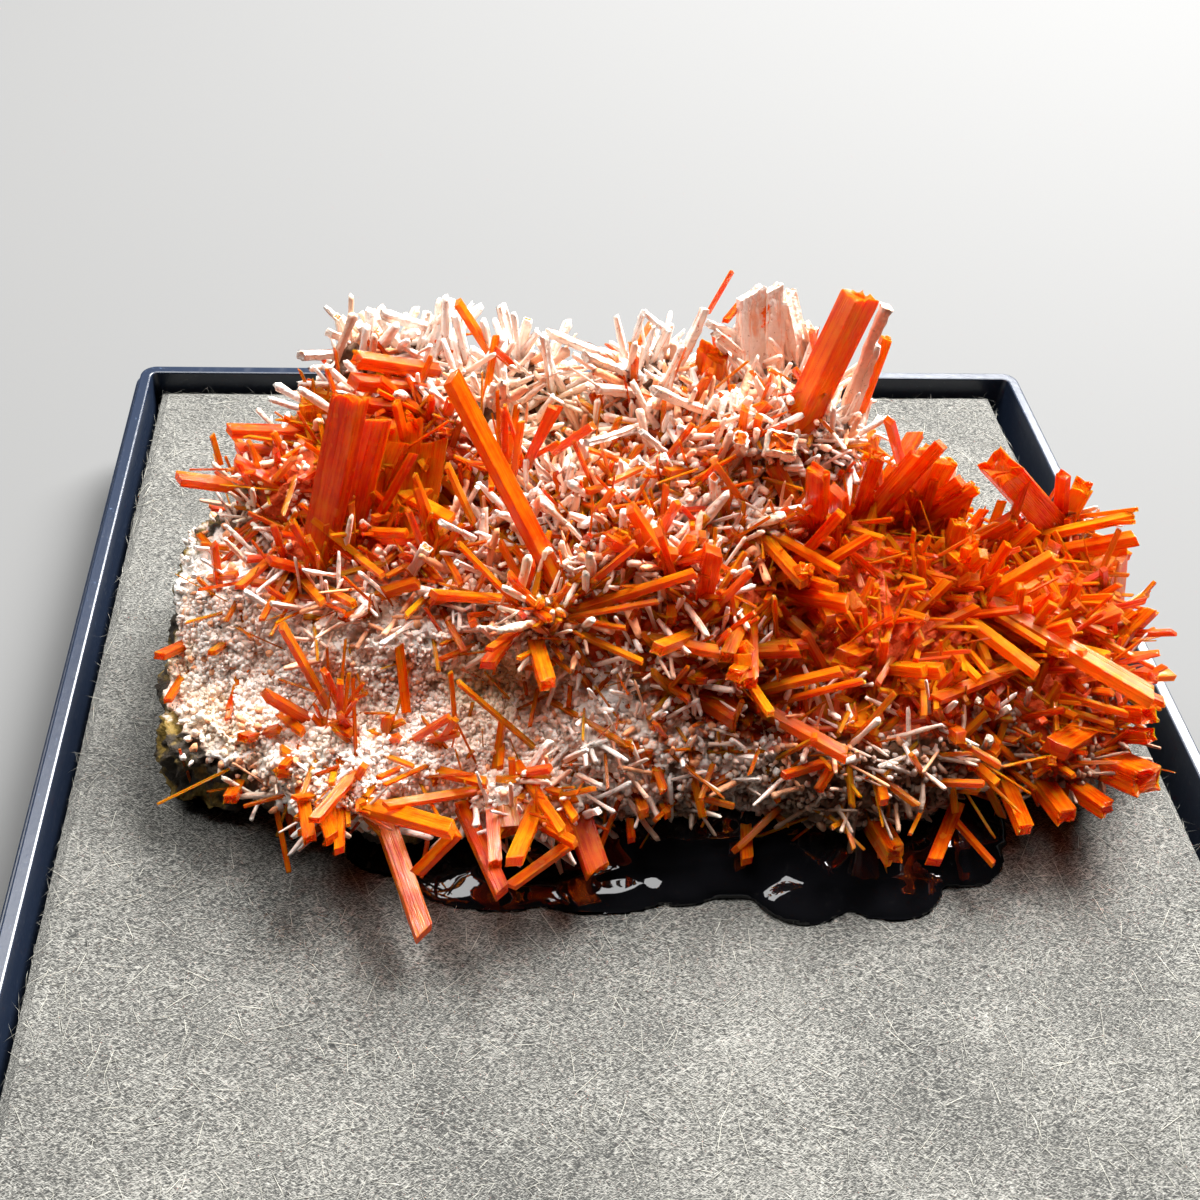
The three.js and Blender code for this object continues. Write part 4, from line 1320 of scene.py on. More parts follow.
LONE_ORANGE = [
    ((-7.6, 7.1, 24), (-6.2, 6.6, 29), 0.77, 0.62),
    ((-5.8, 8.4, 24), (-3.8, 6, 28), 0.67, 0.4),
    ((0.3, 2.4, 22.5), (0.9, 1.5, 26), 0.52, 0.4),
    ((-8.5, 6.9, 22), (-8, 7.7, 27), 0.39, 0.4),
    ((-7.7, 7.1, 24), (-5.7, 8, 28), 0.47, 0.6),
    ((17, -1.9, 17), (15.1, -8.6, 18), 0.4, 0.18),
    ((17.6, -1.8, 17), (16, -8.1, 18), 0.35, 0.2),
    ((15.2, -1.3, 17.5), (14.2, -6.2, 18), 0.18, 0.4),
    ((25.6, -2.3, 16.5), (16, -7.3, 18), 0.72, 0.5, 0.7),
    ((18.2, -5.7, 16), (12.9, -6.4, 18), 0.29, 0.25),
    ((-0.7, -7, 14), (-1.1, -8.8, 15), 0.86, 0.4, 1),
    ((0.1, -7.2, 12.5), (-0.3, -9.5, 14), 0.85, 0.35, 1, S),
    ((-1.3, -8.6, 11.5), (-1.2, -11.4, 13), 0.66, 0.55, 1),
    ((0.1, -10.1, 12), (0.3, -11.2, 12.5), 0.45, 0.6, 1),
    ((-1.8, -10.4, 11), (-1.9, -12.2, 11.5), 0.47, 0.7, 1),
    ((6.5, -8.5, 12), (6.8, -11, 13.5), 0.33, 0.5, 1),
    ((3.4, -7.9, 14), (2, -11.2, 14), 0.33, 0.2, 1, O, 0.3),
    ((1.4, -6.7, 14), (2, -8.2, 15), 0.29, 0.6, 1),
    ((13.3, -9.6, 10), (13.7, -14, 11.5), 1.3, 0.45, 1, B, 0),
    ((19.1, -9.2, 10), (16, -14.1, 11), 0.87, 0.75),
    ((18.6, -9.4, 9.5), (20, -14, 10.5), 0.39, 0.6, 1),
    ((5.6, -9.3, 9.5), (5.1, -13, 10), 0.7, 0.7, 1),
    ((16.5, -10, 12), (14.5, -13, 12.5), 0.25, 0.4, 1),
    ((-28.5, 2.4, 13.5), (-29.9, -0.7, 15.5), 0.61, 0.42, 0.8, O, 0.4),
    ((-25.7, 1.9, 14.5), (-26.6, -1.4, 16.5), 0.45, 0.35, 0.8, O, 0.3),
    ((-28.6, 0.7, 13), (-29.3, -3, 14), 0.45, 0.4, 0.8, O, 0.6),
    ((-25.1, -0.3, 14.5), (-25.5, -4.9, 14.5), 0.35, 0.4, 0.8, O, 0.4),
    ((-24.6, 0.5, 15.5), (-25.1, 2.3, 17.5), 0.54, 0.25, 0.8, O, 0.2),
    ((31.3, -2.7, 14.5), (31.1, -5, 17), 0.95, 0.6, 0.8, B),
    ((-6.5, -5.1, 16), (-1.8, -8.9, 16), 0.33, 0.2),
    ((-7.4, -7.1, 14), (-12, -6.5, 19.5), 0.32, 0.12),
    ((-12.1, -6.2, 14.5), (-12.4, -5.3, 19), 0.28, 0.15),
    ((-3.4, -4.6, 15.5), (-3.4, -10.6, 14.5), 0.18, 0.25, 1),
    ((4.2, 15.6, 29.5), (5, 14.2, 33.5), 0.28, 0.55, 0.8, O, 0.2),
    ((-7.2, -4.2, 16), (-7.8, -6.7, 15.5), 0.25, 0.2, 1),
    ((-5.2, -3.9, 16.5), (-5.5, -6, 16.5), 0.3, 0.5, 1),
    ((-9.4, -7.2, 14.5), (-9.6, -9.3, 15), 0.38, 0.3, 1),
    ((-18.9, -4.2, 15.5), (-18.5, -2.1, 18.5), 0.16, 0.1, 1),
    ((-19.6, -3.2, 16), (-19.6, -2.4, 18), 0.16, 0.1, 1),
    ((-17.6, -3.8, 15.5), (-18.4, -2, 17.5), 0.13, 0.1, 1),
    ((-8.9, -4.5, 15.5), (-10.4, -3.6, 17), 0.11, 0.2, 1),
    ((-9.6, -0.4, 18), (-13, -2.8, 18.5), 0.21, 0.15, 1, O, 0.3),
    ((-10.5, -1.7, 17.5), (-13, -3.5, 18), 0.28, 0.35, 1),
    ((26.3, -8.4, 14.5), (20.1, -10.4, 15.5), 0.15, 0.15, 1, O, 0.2),
    ((19.7, -9, 14), (22.3, -11, 13.5), 0.14, 0.2, 1, O, 0.4),
    ((13.5, -6.7, 13.5), (16.7, -7.6, 15.5), 0.5, 0.4),
    ((25.4, -3.9, 15.5), (24.3, -7.9, 15.5), 0.28, 0.3, 1),
    ((22.2, -6.7, 14.5), (23.7, -8.5, 15), 0.17, 0.5, 1),
    ((19.7, -5.6, 15), (18.9, -8.8, 15), 0.24, 0.6, 1, O, 0.2),
    ((22.3, -0.5, 16.5), (18.5, -4.3, 17.5), 1.42, 0.7, 0.6),
    ((6.1, 15.7, 30), (4.8, 13.2, 30.5), 0.4, 0.4, 0.8, O, 0.3),
    ((0.6, 15.8, 28.5), (-0.4, 14.1, 28), 0.35, 0.35, 0.8, O, 0.3),
    ((-8.7, 14.9, 25), (-11.8, 16.6, 29.5), 0.5, 0.35, 1, O, 0.9),
    ((6, 7.7, 25), (6.2, 5.5, 24), 0.44, 0.75, 1),
    ((5.8, 8.2, 26), (5.4, 7.1, 28.5), 0.52, 0.4, 1, O, 0.2),
    ((6.7, 8.2, 25.5), (6.5, 7.6, 27.5), 0.51, 0.35, 1, O, 0.2),
    ((5.2, 4.2, 24), (3.2, 3.9, 27), 0.4, 0.2, 1, O, 0.2),
    ((4.2, 4.8, 23.5), (5, 3.5, 22.5), 0.26, 0.25, 1, O, 0.2),
    ((0.6, 4.5, 23.5), (-3.6, 1.8, 25), 0.19, 0.15, 1, O, 0.3),
    ((-0.1, 3.6, 25.5), (2.2, 3.2, 27), 0.11, 0.1, 1, O, 0.6),
    ((0.4, 6.4, 25), (-2.9, 3.7, 25.5), 0.32, 0.4, 1, O, 0.9),
    ((-3.9, 7.4, 25), (-0.8, 5.8, 25), 0.25, 0.25, 1, O, 0.3),
    ((7, 5.9, 24), (9.2, 4.2, 24.5), 0.17, 0.15, 1, O, 0.2),
    ((9.9, 11.5, 31), (10.7, 12.5, 29), 0.33, 0.35, 1, O, 0.2),
]


@dataclass(frozen=True)
class Spray:
    """A burst of small prisms from one place: their mean direction, their number and their sizes."""

    foot: Point
    lean: Point
    count: int
    longest: float
    thickest: float
    tint: float
    spread: float = 0.9
    least_forward = 0.1
    steepest_down = -0.35
    root = 0.8

    def crystals(self, rng: np.random.Generator) -> list[Crystal]:
        """Draws the crystals of the burst.

        Args:
            rng: The fixed row of random numbers.

        Returns:
            The crystals, none of which points steeply down.
        """
        made: list[Crystal] = []
        lean = np.array(self.lean, float)
        lean /= np.linalg.norm(lean)
        while len(made) < self.count:
            way = lean + rng.normal(0.0, self.spread, 3)
            way /= np.linalg.norm(way)
            if way @ lean < self.least_forward or way[2] < self.steepest_down:
                continue
            wide = self.thickest * rng.uniform(0.35, 1.0) ** 1.5
            length = self.longest * rng.uniform(0.5, 1.0) * (0.65 + 0.35 * wide / self.thickest)
            foot = np.array(self.foot) + rng.normal(0.0, 0.9, 3) * (1.0, 1.0, 0.5)
            end = (O, O, S, B)[rng.integers(4)]
            flat = rng.uniform(0.6, 1.0)
            tint = self.tint + rng.normal(0.0, 0.12) + 0.15 * (wide / self.thickest - 0.5)
            axis = tuple(foot - way * self.root), tuple(foot + way * length)
            made.append(Crystal(*axis, wide, tint, flat, end, rng.uniform(0.0, 0.5)))
        return made


SPRAYS: dict[str, list[Spray]] = {
    "sprays_left": [
        Spray((-20, 2.5, 18), (-0.2, -0.6, 0.8), 18, 6.7, 0.56, 0.45),
        Spray((-21.5, 9, 19), (-0.4, 0.1, 1), 8, 5, 0.56, 0.45),
        Spray((-14, 11, 24), (-0.2, -0.3, 1), 11, 5, 0.62, 0.55),
        Spray((-13, 2, 20.5), (0, -0.5, 1), 12, 5.6, 0.43, 0.35),
        Spray((-25.5, 4, 16), (-0.4, -0.5, 0.8), 8, 3.9, 0.37, 0.35),
        Spray((-24.5, -1, 13.5), (-0.1, -0.8, 0.6), 8, 3.9, 0.37, 0.35),
        Spray((-19, -5.5, 14), (-0.1, -0.5, 0.9), 15, 5, 0.43, 0.4),
        Spray((-18, -8, 12), (-0.1, -0.8, 0.6), 18, 5.6, 0.62, 0.45),
        Spray((-13, -7, 13), (0, -0.7, 0.7), 11, 5.6, 0.5, 0.4),
        Spray((-8, -9, 12.5), (0, -0.8, 0.6), 16, 5.6, 0.62, 0.45),
        Spray((-6.5, -1, 19), (0, -0.5, 0.8), 19, 6.7, 0.5, 0.35, 1.2),
        Spray((-9, 8, 23.5), (0, -0.3, 1), 11, 5.6, 0.43, 0.5),
        Spray((-3.5, 5, 23), (0, -0.5, 0.8), 14, 4.6, 0.42, 0.4),
        Spray((2.5, 6, 23.5), (0, -0.5, 0.8), 14, 4.6, 0.42, 0.4),
        Spray((-13, 16, 21), (-0.1, 0.7, 0.7), 14, 5.6, 0.62, 0.5),
        Spray((-24, 13, 15), (-0.5, 0.7, 0.5), 11, 5.6, 0.56, 0.5),
    ],
    "sprays_middle": [
        Spray((1, 1, 20.5), (0.1, -0.5, 1), 10, 7.7, 0.76, 0.4, 0.75),
        Spray((4, -3, 17.5), (0, -0.7, 0.7), 16, 8.3, 1.12, 0.45, 0.75),
        Spray((-1, -6, 14), (0, -0.8, 0.6), 9, 5.1, 0.76, 0.45, 0.75),
        Spray((8, 1, 19.5), (0, -0.5, 0.9), 16, 8.3, 1.12, 0.45, 0.75),
        Spray((11.5, 4.5, 19.5), (0, -0.2, 1), 15, 8.3, 1.23, 0.5, 0.75),
        Spray((4, 9, 23), (-0.1, -0.3, 1), 6, 5.7, 0.76, 0.5, 0.75),
        Spray((12, 10, 21), (0.3, 0.2, 1), 8, 6.5, 0.85, 0.5, 0.75),
        Spray((8, -6, 14), (0, -0.8, 0.5), 9, 5.7, 0.85, 0.4, 0.75),
        Spray((3, 15, 21), (0, 0.7, 0.8), 9, 6.5, 0.95, 0.5, 0.75),
        Spray((14, 12, 15), (0.2, 0.9, 0.5), 8, 6.5, 0.95, 0.5, 0.75),
    ],
    "sprays_right": [
        Spray((14, -2, 16.5), (0, -0.5, 0.9), 16, 8.3, 1.12, 0.42, 0.75),
        Spray((17.5, 6.5, 18), (0, -0.1, 1), 15, 8.3, 1.23, 0.5, 0.75),
        Spray((19.5, 1.5, 17.5), (0.1, -0.5, 1), 18, 8.9, 1.12, 0.4, 0.75),
        Spray((22, 5, 17), (0.3, 0, 1), 12, 7.7, 1.04, 0.4, 0.75),
        Spray((24.5, -1, 15.5), (0.3, -0.4, 0.8), 15, 7.7, 1.04, 0.4, 0.75),
        Spray((27.5, 6.5, 16), (0.5, 0.3, 0.8), 10, 6.5, 1.04, 0.5, 0.75),
        Spray((29, 0, 13), (0.7, -0.2, 0.6), 14, 6.5, 0.95, 0.25, 0.75),
        Spray((18, -6, 14), (0, -0.8, 0.5), 12, 6.5, 0.85, 0.42, 0.75),
        Spray((23.5, -6.5, 11.5), (0.3, -0.8, 0.4), 10, 5.7, 1.04, 0.5, 0.75),
        Spray((29.5, -3, 13), (0.8, -0.4, 0.4), 9, 5.1, 0.95, 0.5, 0.75),
        Spray((12, -8.5, 12), (0, -0.9, 0.4), 8, 5.1, 0.85, 0.45, 0.75),
        Spray((24, 9, 13), (0.6, 0.8, 0.4), 9, 5.7, 0.95, 0.5, 0.75),
    ],
}


@dataclass
class CrystalGroup:
    """One group of crystals that grew together."""

    name: str
    crystals: list[Crystal]
    maker: type[PrismMaker]
    slot: Slot
    nodes: tuple[str, ...] = ()

    def build(self, material: bpy.types.Material, seed: int) -> bpy.types.Object:
        """Builds the group's mesh and dresses it.

        Args:
            material: The finish of its crystals.
            seed: Starts its row of random numbers.

        Returns:
            The piece.
        """
        store = MeshStore()
        maker = self.maker(store, seed)
        for crystal in self.crystals:
            maker.grow(crystal)
        piece = store.to_object(self.name, self.maker.smooth)
        piece.data.materials.append(material)
        return piece


# ---------------------------------------------------------------- scattering


@dataclass(frozen=True)
class Cover:
    """How one kind of small thing covers a surface. A pair is the least and the most."""

    where: str
    per_mm2: float
    apart: float
    thick: tuple[float, float]
    tall: tuple[float, float]
    tilt: tuple[float, float]
    seed: int
    tint: tuple[float, float] = (0.0, 1.0)

    def values(self) -> dict[str, object]:
        """Lists the values by the names of the growth tree's inputs.

        Returns:
            The values, with distances in metres.
        """
        values = {"Where": self.where, "Per Area": self.per_mm2 / MM**2, "Apart": self.apart * MM}
        values["Thinnest"], values["Thickest"] = self.thick
        values["Shortest"], values["Longest"] = self.tall
        values["Least Tilt"], values["Most Tilt"] = self.tilt
        values["Least Tint"], values["Most Tint"] = self.tint
        return {**values, "Seed": self.seed}


class Growth:
    """A Geometry Nodes tree that grows copies of small shapes on a surface."""

    inputs = {
        "NodeSocketGeometry": ("Geometry",),
        "NodeSocketCollection": ("Shapes",),
        "NodeSocketMaterial": ("Material",),
        "NodeSocketString": ("Where",),
        "NodeSocketFloat": (
            "Per Area", "Apart", "Thinnest", "Thickest", "Shortest", "Longest", "Least Tilt", "Most Tilt",
            "Least Tint", "Most Tint",
        ),
        "NodeSocketInt": ("Seed",),
    }

    def __init__(self, name: str) -> None:
        """Builds the tree and its named inputs.

        Args:
            name: The tree's name.
        """
        self.tree = bpy.data.node_groups.new(name, "GeometryNodeTree")
        sockets = self.tree.interface
        sockets.new_socket("Geometry", in_out="OUTPUT", socket_type="NodeSocketGeometry")
        self.keys: dict[str, str] = {}
        for kind, titles in self.inputs.items():
            for title in titles:
                self.keys[title] = sockets.new_socket(title, in_out="INPUT", socket_type=kind).identifier
        self._wire()

    def _wire(self) -> None:
        """Places and links the tree's nodes."""
        sheet = Sheet(self.tree)
        given = self.tree.nodes.new("NodeGroupInput").outputs
        where = sheet.add("GeometryNodeInputNamedAttribute", {"data_type": "FLOAT"}, Name=given["Where"])
        scatter = sheet.add(
            "GeometryNodeDistributePointsOnFaces", {"distribute_method": "POISSON"}, Mesh=given["Geometry"],
            Distance_Min=given["Apart"], Density_Max=given["Per Area"], Density_Factor=where.outputs[0],
            Seed=given["Seed"],
        )
        shapes = sheet.add(
            "GeometryNodeCollectionInfo", None, Collection=given["Shapes"], Separate_Children=True,
            Reset_Children=True,
        )
        chance = partial(self._chance, sheet, given["Seed"])
        wide = chance(1, given["Thinnest"], given["Thickest"])
        tall = chance(2, given["Shortest"], given["Longest"])
        size = sheet.add("ShaderNodeCombineXYZ", None, X=wide, Y=wide, Z=tall)
        turn = scatter.outputs["Rotation"]
        tilt = chance(3, given["Least Tilt"], given["Most Tilt"])
        for number, part in ((4, "Z"), (0, "X"), (5, "Z")):
            angle = tilt if part == "X" else chance(number, 0.0, 2 * math.pi)
            euler = sheet.add("ShaderNodeCombineXYZ", None, **{part: angle})
            step = sheet.add("FunctionNodeEulerToRotation", None, Euler=euler.outputs[0])
            turned = sheet.add("FunctionNodeRotateRotation", {"rotation_space": "LOCAL"})
            sheet.feed(turned.inputs[0], turn)
            sheet.feed(turned.inputs[1], step.outputs[0])
            turn = turned.outputs[0]
        placed = sheet.add(
            "GeometryNodeInstanceOnPoints", None, Points=scatter.outputs["Points"],
            Instance=shapes.outputs[0], Pick_Instance=True, Rotation=turn, Scale=size.outputs[0],
        )
        tinted = sheet.add(
            "GeometryNodeStoreNamedAttribute", {"data_type": "FLOAT", "domain": "INSTANCE"},
            Geometry=placed.outputs[0], Name="tint", Value=chance(6, given["Least Tint"], given["Most Tint"]),
        )
        real = sheet.add("GeometryNodeRealizeInstances", None, Geometry=tinted.outputs[0])
        dressed = sheet.add(
            "GeometryNodeSetMaterial", None, Geometry=real.outputs[0], Material=given["Material"]
        )
        sheet.feed(self.tree.nodes.new("NodeGroupOutput").inputs[0], dressed.outputs[0])

    @staticmethod
    def _chance(sheet: Sheet, seed: Socket, number: int, low: object, high: object) -> Socket:
        """Places a random value between two limits, with the seed moved on by its own number.

        Args:
            sheet: The tree's sheet.
            seed: The tree's seed.
            number: A number that no other random value of the tree has.
            low: The least value.
            high: The most value.

        Returns:
            The random value.
        """
        node = sheet.add("FunctionNodeRandomValue", {"data_type": "FLOAT"})
        floats = [socket for socket in node.inputs if socket.type == "VALUE"]
        sheet.feed(floats[0], low)
        sheet.feed(floats[1], high)
        sheet.feed(node.inputs["Seed"], sheet.maths("ADD", seed, float(number * 17)))
        return next(socket for socket in node.outputs if socket.type == "VALUE")

    def grow(
        self,
        name: str,
        surface: bpy.types.Object,
        shapes: list[bpy.types.Object],
        material: bpy.types.Material,
        cover: Cover,
    ) -> bpy.types.Object:
        """Grows one piece on a copy of a surface.

        Args:
            name: The piece's name.
            surface: The object that it grows on.
            shapes: The small shapes to pick from, of unit size, standing on their origin.
            material: The finish of all copies.
            cover: Where the copies stand and how they vary.

        Returns:
            The piece as a plain mesh.
        """
        holder = bpy.data.collections.new(name + "_shapes")
        for shape in shapes:
            if shape.name in bpy.context.scene.collection.objects:
                bpy.context.scene.collection.objects.unlink(shape)
            holder.objects.link(shape)
        ground = bpy.data.objects.new(name + "_ground", surface.data)
        modifier = ground.modifiers.new("growth", "NODES")
        modifier.node_group = self.tree
        for title, value in {"Shapes": holder, "Material": material, **cover.values()}.items():
            modifier[self.keys[title]] = value
        bpy.context.scene.collection.objects.link(ground)
        piece = as_plain_mesh(ground, name)
        bpy.data.collections.remove(holder)
        return piece


class SmallShapes:
    """The small unit shapes that the scattering picks from: 1 mm long and 1 mm thick, along +Z."""

    def __init__(self) -> None:
        """Builds every kind."""
        rng = np.random.default_rng(SHAPES_SEED)
        self.needles = [self._needle(f"needle_{i}", rng) for i in range(6)]
        self.prisms = [self._prism(f"prism_{i}", rng) for i in range(4)]
        self.hairs = [self._hair(f"hair_{i}", rng) for i in range(8)]
        self.knobs = [self._knob(f"knob_{i}", rng) for i in range(5)]

    @staticmethod
    def _tube(name: str, rings: np.ndarray, paint: dict[str, np.ndarray], smooth: bool) -> bpy.types.Object:
        """Makes one closed tube from its rings.

        Args:
            name: The shape's name.
            rings: Points in order round each ring, as (rings, points, 3).
            paint: Values by name, as (rings, points).
            smooth: Whether its faces are shaded smooth.

        Returns:
            The shape.
        """
        store = MeshStore()
        sides = rings.shape[1]
        store.add_tube(rings, rings[:, :, 2].mean(axis=1), np.linspace(0, 3, sides + 1), paint)
        return store.to_object(name, smooth)

    def _needle(self, name: str, rng: np.random.Generator) -> bpy.types.Object:
        """Makes a coated rod: knobby like coral, slightly bent, with a rounded end that may bare its core.

        Args:
            name: The shape's name.
            rng: The fixed row of random numbers.

        Returns:
            The shape.
        """
        sides = 6
        turns = np.linspace(0, 2 * np.pi, sides, endpoint=False) + rng.uniform(0, 1)
        circle = np.column_stack((np.cos(turns), np.sin(turns))) * 0.5
        bend = rng.normal(0, 0.25, 2)
        bare_end = rng.random() < 0.17
        rings, bare = [], []
        for height, level in ((-0.05, 1.1), (0.3, 0.95), (0.62, 1.0), (0.94, 0.95)):
            ring = circle * level * (1 + rng.normal(0, 0.12) + rng.normal(0, 0.1, sides))[:, None]
            rings.append(np.column_stack((ring + bend * height * height, np.full(sides, height))))
            bare.append(np.clip(rng.normal(0.0, 0.3, sides), 0, 0.7))
        end = circle * (0.85 if bare_end else 0.7) + bend
        rings.append(np.column_stack((end, 1.0 + rng.normal(0, 0.02, sides))))
        bare.append(np.full(sides, 1.0 if bare_end else 0.0))
        shape = (len(rings), sides)
        paint = {"bare": np.array(bare), "coat": np.ones(shape), "edge": np.zeros(shape)}
        return self._tube(name, np.array(rings), paint, True)

    def _prism(self, name: str, rng: np.random.Generator) -> bpy.types.Object:
        """Makes a small orange prism with chamfered edges and a slanted end.

        Args:
            name: The shape's name.
            rng: The fixed row of random numbers.

        Returns:
            The shape.
        """
        flat = rng.uniform(0.6, 1.0)
        c = 0.07
        corners = [(0.5, -0.5 + c), (0.5, 0.5 - c), (0.5 - c, 0.5), (-0.5 + c, 0.5)]
        outline = np.array(corners + [(-x, -y) for x, y in corners]) * (1, flat)
        slope = rng.uniform(0.0, 0.12)
        rings = []
        for height, inset in ((-0.05, 1.0), (0.5, 0.97), (0.97, 0.95), (1.0, 0.82)):
            ring = outline * inset
            rings.append(np.column_stack((ring, height - slope * (ring[:, 0] + 0.5) * (height > 0.9))))
        shape = (len(rings), 8)
        paint = {"bare": np.ones(shape), "coat": np.zeros(shape), "edge": np.ones(shape) * 0.6}
        return self._tube(name, np.array(rings), paint, False)

    def _hair(self, name: str, rng: np.random.Generator) -> bpy.types.Object:
        """Makes a curved hair: three-sided, and drawn out to a point at both ends.

        Args:
            name: The shape's name.
            rng: The fixed row of random numbers.

        Returns:
            The shape.
        """
        turns = np.linspace(0, 2 * np.pi, 3, endpoint=False)
        circle = np.column_stack((np.cos(turns), np.sin(turns))) * 0.5
        bend = rng.normal(0, 3.0, 2)
        rings = [np.column_stack((circle + bend, np.full(3, height))) for height in (-0.2, 0.2)]
        points = np.vstack([(0.0, 0.0, -0.5), *rings, (0.0, 0.0, 0.5)])
        faces = [(0, 2, 1), (0, 3, 2), (0, 1, 3), (7, 4, 5), (7, 5, 6), (7, 6, 4)]
        faces += [(1 + i, 1 + (i + 1) % 3, 4 + (i + 1) % 3, 4 + i) for i in range(3)]
        mesh = bpy.data.meshes.new(name)
        mesh.from_pydata((points * MM).tolist(), [], faces)
        mesh.polygons.foreach_set("use_smooth", [True] * len(faces))
        return linked(name, mesh)

    def _knob(self, name: str, rng: np.random.Generator) -> bpy.types.Object:
        """Makes a small uneven grain, a little taller than it is wide.

        Args:
            name: The shape's name.
            rng: The fixed row of random numbers.

        Returns:
            The shape.
        """
        turns = np.linspace(0, 2 * np.pi, 5, endpoint=False)
        rings = []
        circle = np.column_stack((np.cos(turns), np.sin(turns)))
        for lift, level in ((-0.5, 0.6), (0.0, 1.0), (0.42, 0.5)):
            ring = circle * level * 0.5 * (1 + rng.normal(0, 0.15, 5))[:, None]
            rings.append(np.column_stack((ring, lift + 0.2 + rng.normal(0, 0.06, 5))))
        shape = (3, 5)
        paint = {"bare": np.zeros(shape), "coat": np.ones(shape), "edge": np.zeros(shape)}
        return self._tube(name, np.array(rings), paint, True)


# ---------------------------------------------------------------- the stone

# Each row: centre and radii. First the flat-topped ledge at the left front, then the rounded lumps.
LEDGES: list[tuple[Point, Point]] = [
    ((-14, -2.5, 11.2), (10.5, 6.8, 3.8)),
    ((-24.5, -0.5, 10.2), (6, 6.8, 3.9)),
]

LUMPS: list[tuple[Point, Point]] = [
    ((-15, 5.5, 12), (12.5, 10.5, 9)),
    ((-1, 5, 13), (13, 11, 10)),
    ((13, 3, 12.5), (12, 10.5, 8.5)),
    ((24, 0, 12), (7.5, 8, 5.5)),
    ((-25, 6.5, 12.5), (5.5, 8.5, 5.5)),
    ((-22, -1.5, 10.5), (7.5, 5.5, 4.5)),
    ((-14, -5, 10.5), (8.5, 5.5, 5)),
    ((-1, -4.5, 11.5), (8.5, 5.5, 5.5)),
    ((12, -5.5, 11.5), (10.5, 5.5, 5)),
    ((-13, 13, 18), (9, 5.5, 7.5)),
    ((4, 11, 18), (10, 6, 8)),
    ((27, 2.5, 14), (5, 5, 4.5)),
    ((-19.5, 5, 17.5), (4, 3.5, 3)),
    ((-21, 10.6, 19.4), (4.3, 3.6, 3.4)),
    ((-13.3, 13, 23), (2.8, 2.8, 3)),
    ((-7, -1.6, 18.5), (3, 2.4, 2.4)),
    ((11.5, 10.2, 22.5), (3.8, 2.6, 2.8)),
    ((12, 4.8, 19.5), (3.2, 2.6, 2.4)),
    ((7.5, 3.4, 21), (2.4, 1.6, 1.6)),
    ((17.5, 7, 19), (3.2, 2.8, 2.6)),
    ((29.2, 9, 16.3), (2.4, 1.8, 1.8)),
    ((26, 7, 15.8), (1.8, 1.8, 1.6)),
    ((18.8, 1, 17.5), (3, 2.2, 2)),
    ((26, -6.4, 11.8), (4.4, 2.8, 2.6)),
    ((3.6, -3, 16.6), (3.6, 3, 2.4)),
    ((5.6, 0.2, 18.6), (1.6, 1.6, 1.8)),
    ((0.6, 1, 17.5), (2.4, 2.2, 1.8)),
    ((14.4, -1.6, 16.4), (2.2, 3, 1.8)),
    ((-18, -5, 12.6), (4.6, 2.3, 2.2)),
    ((-18, -8.2, 11.8), (4, 2.2, 2.2)),
    ((-8.2, -9.5, 12.2), (4, 2, 2.2)),
    ((-15.8, 17, 24), (4.4, 2.2, 2)),
    ((-7, 15, 23.8), (2.6, 2.2, 2.2)),
    ((0.8, 13.8, 24.8), (3.2, 2.4, 2.2)),
    ((4, 11, 24.6), (1.8, 1.8, 1.6)),
    ((8.5, 13.4, 24.5), (4, 2, 2.4)),
]


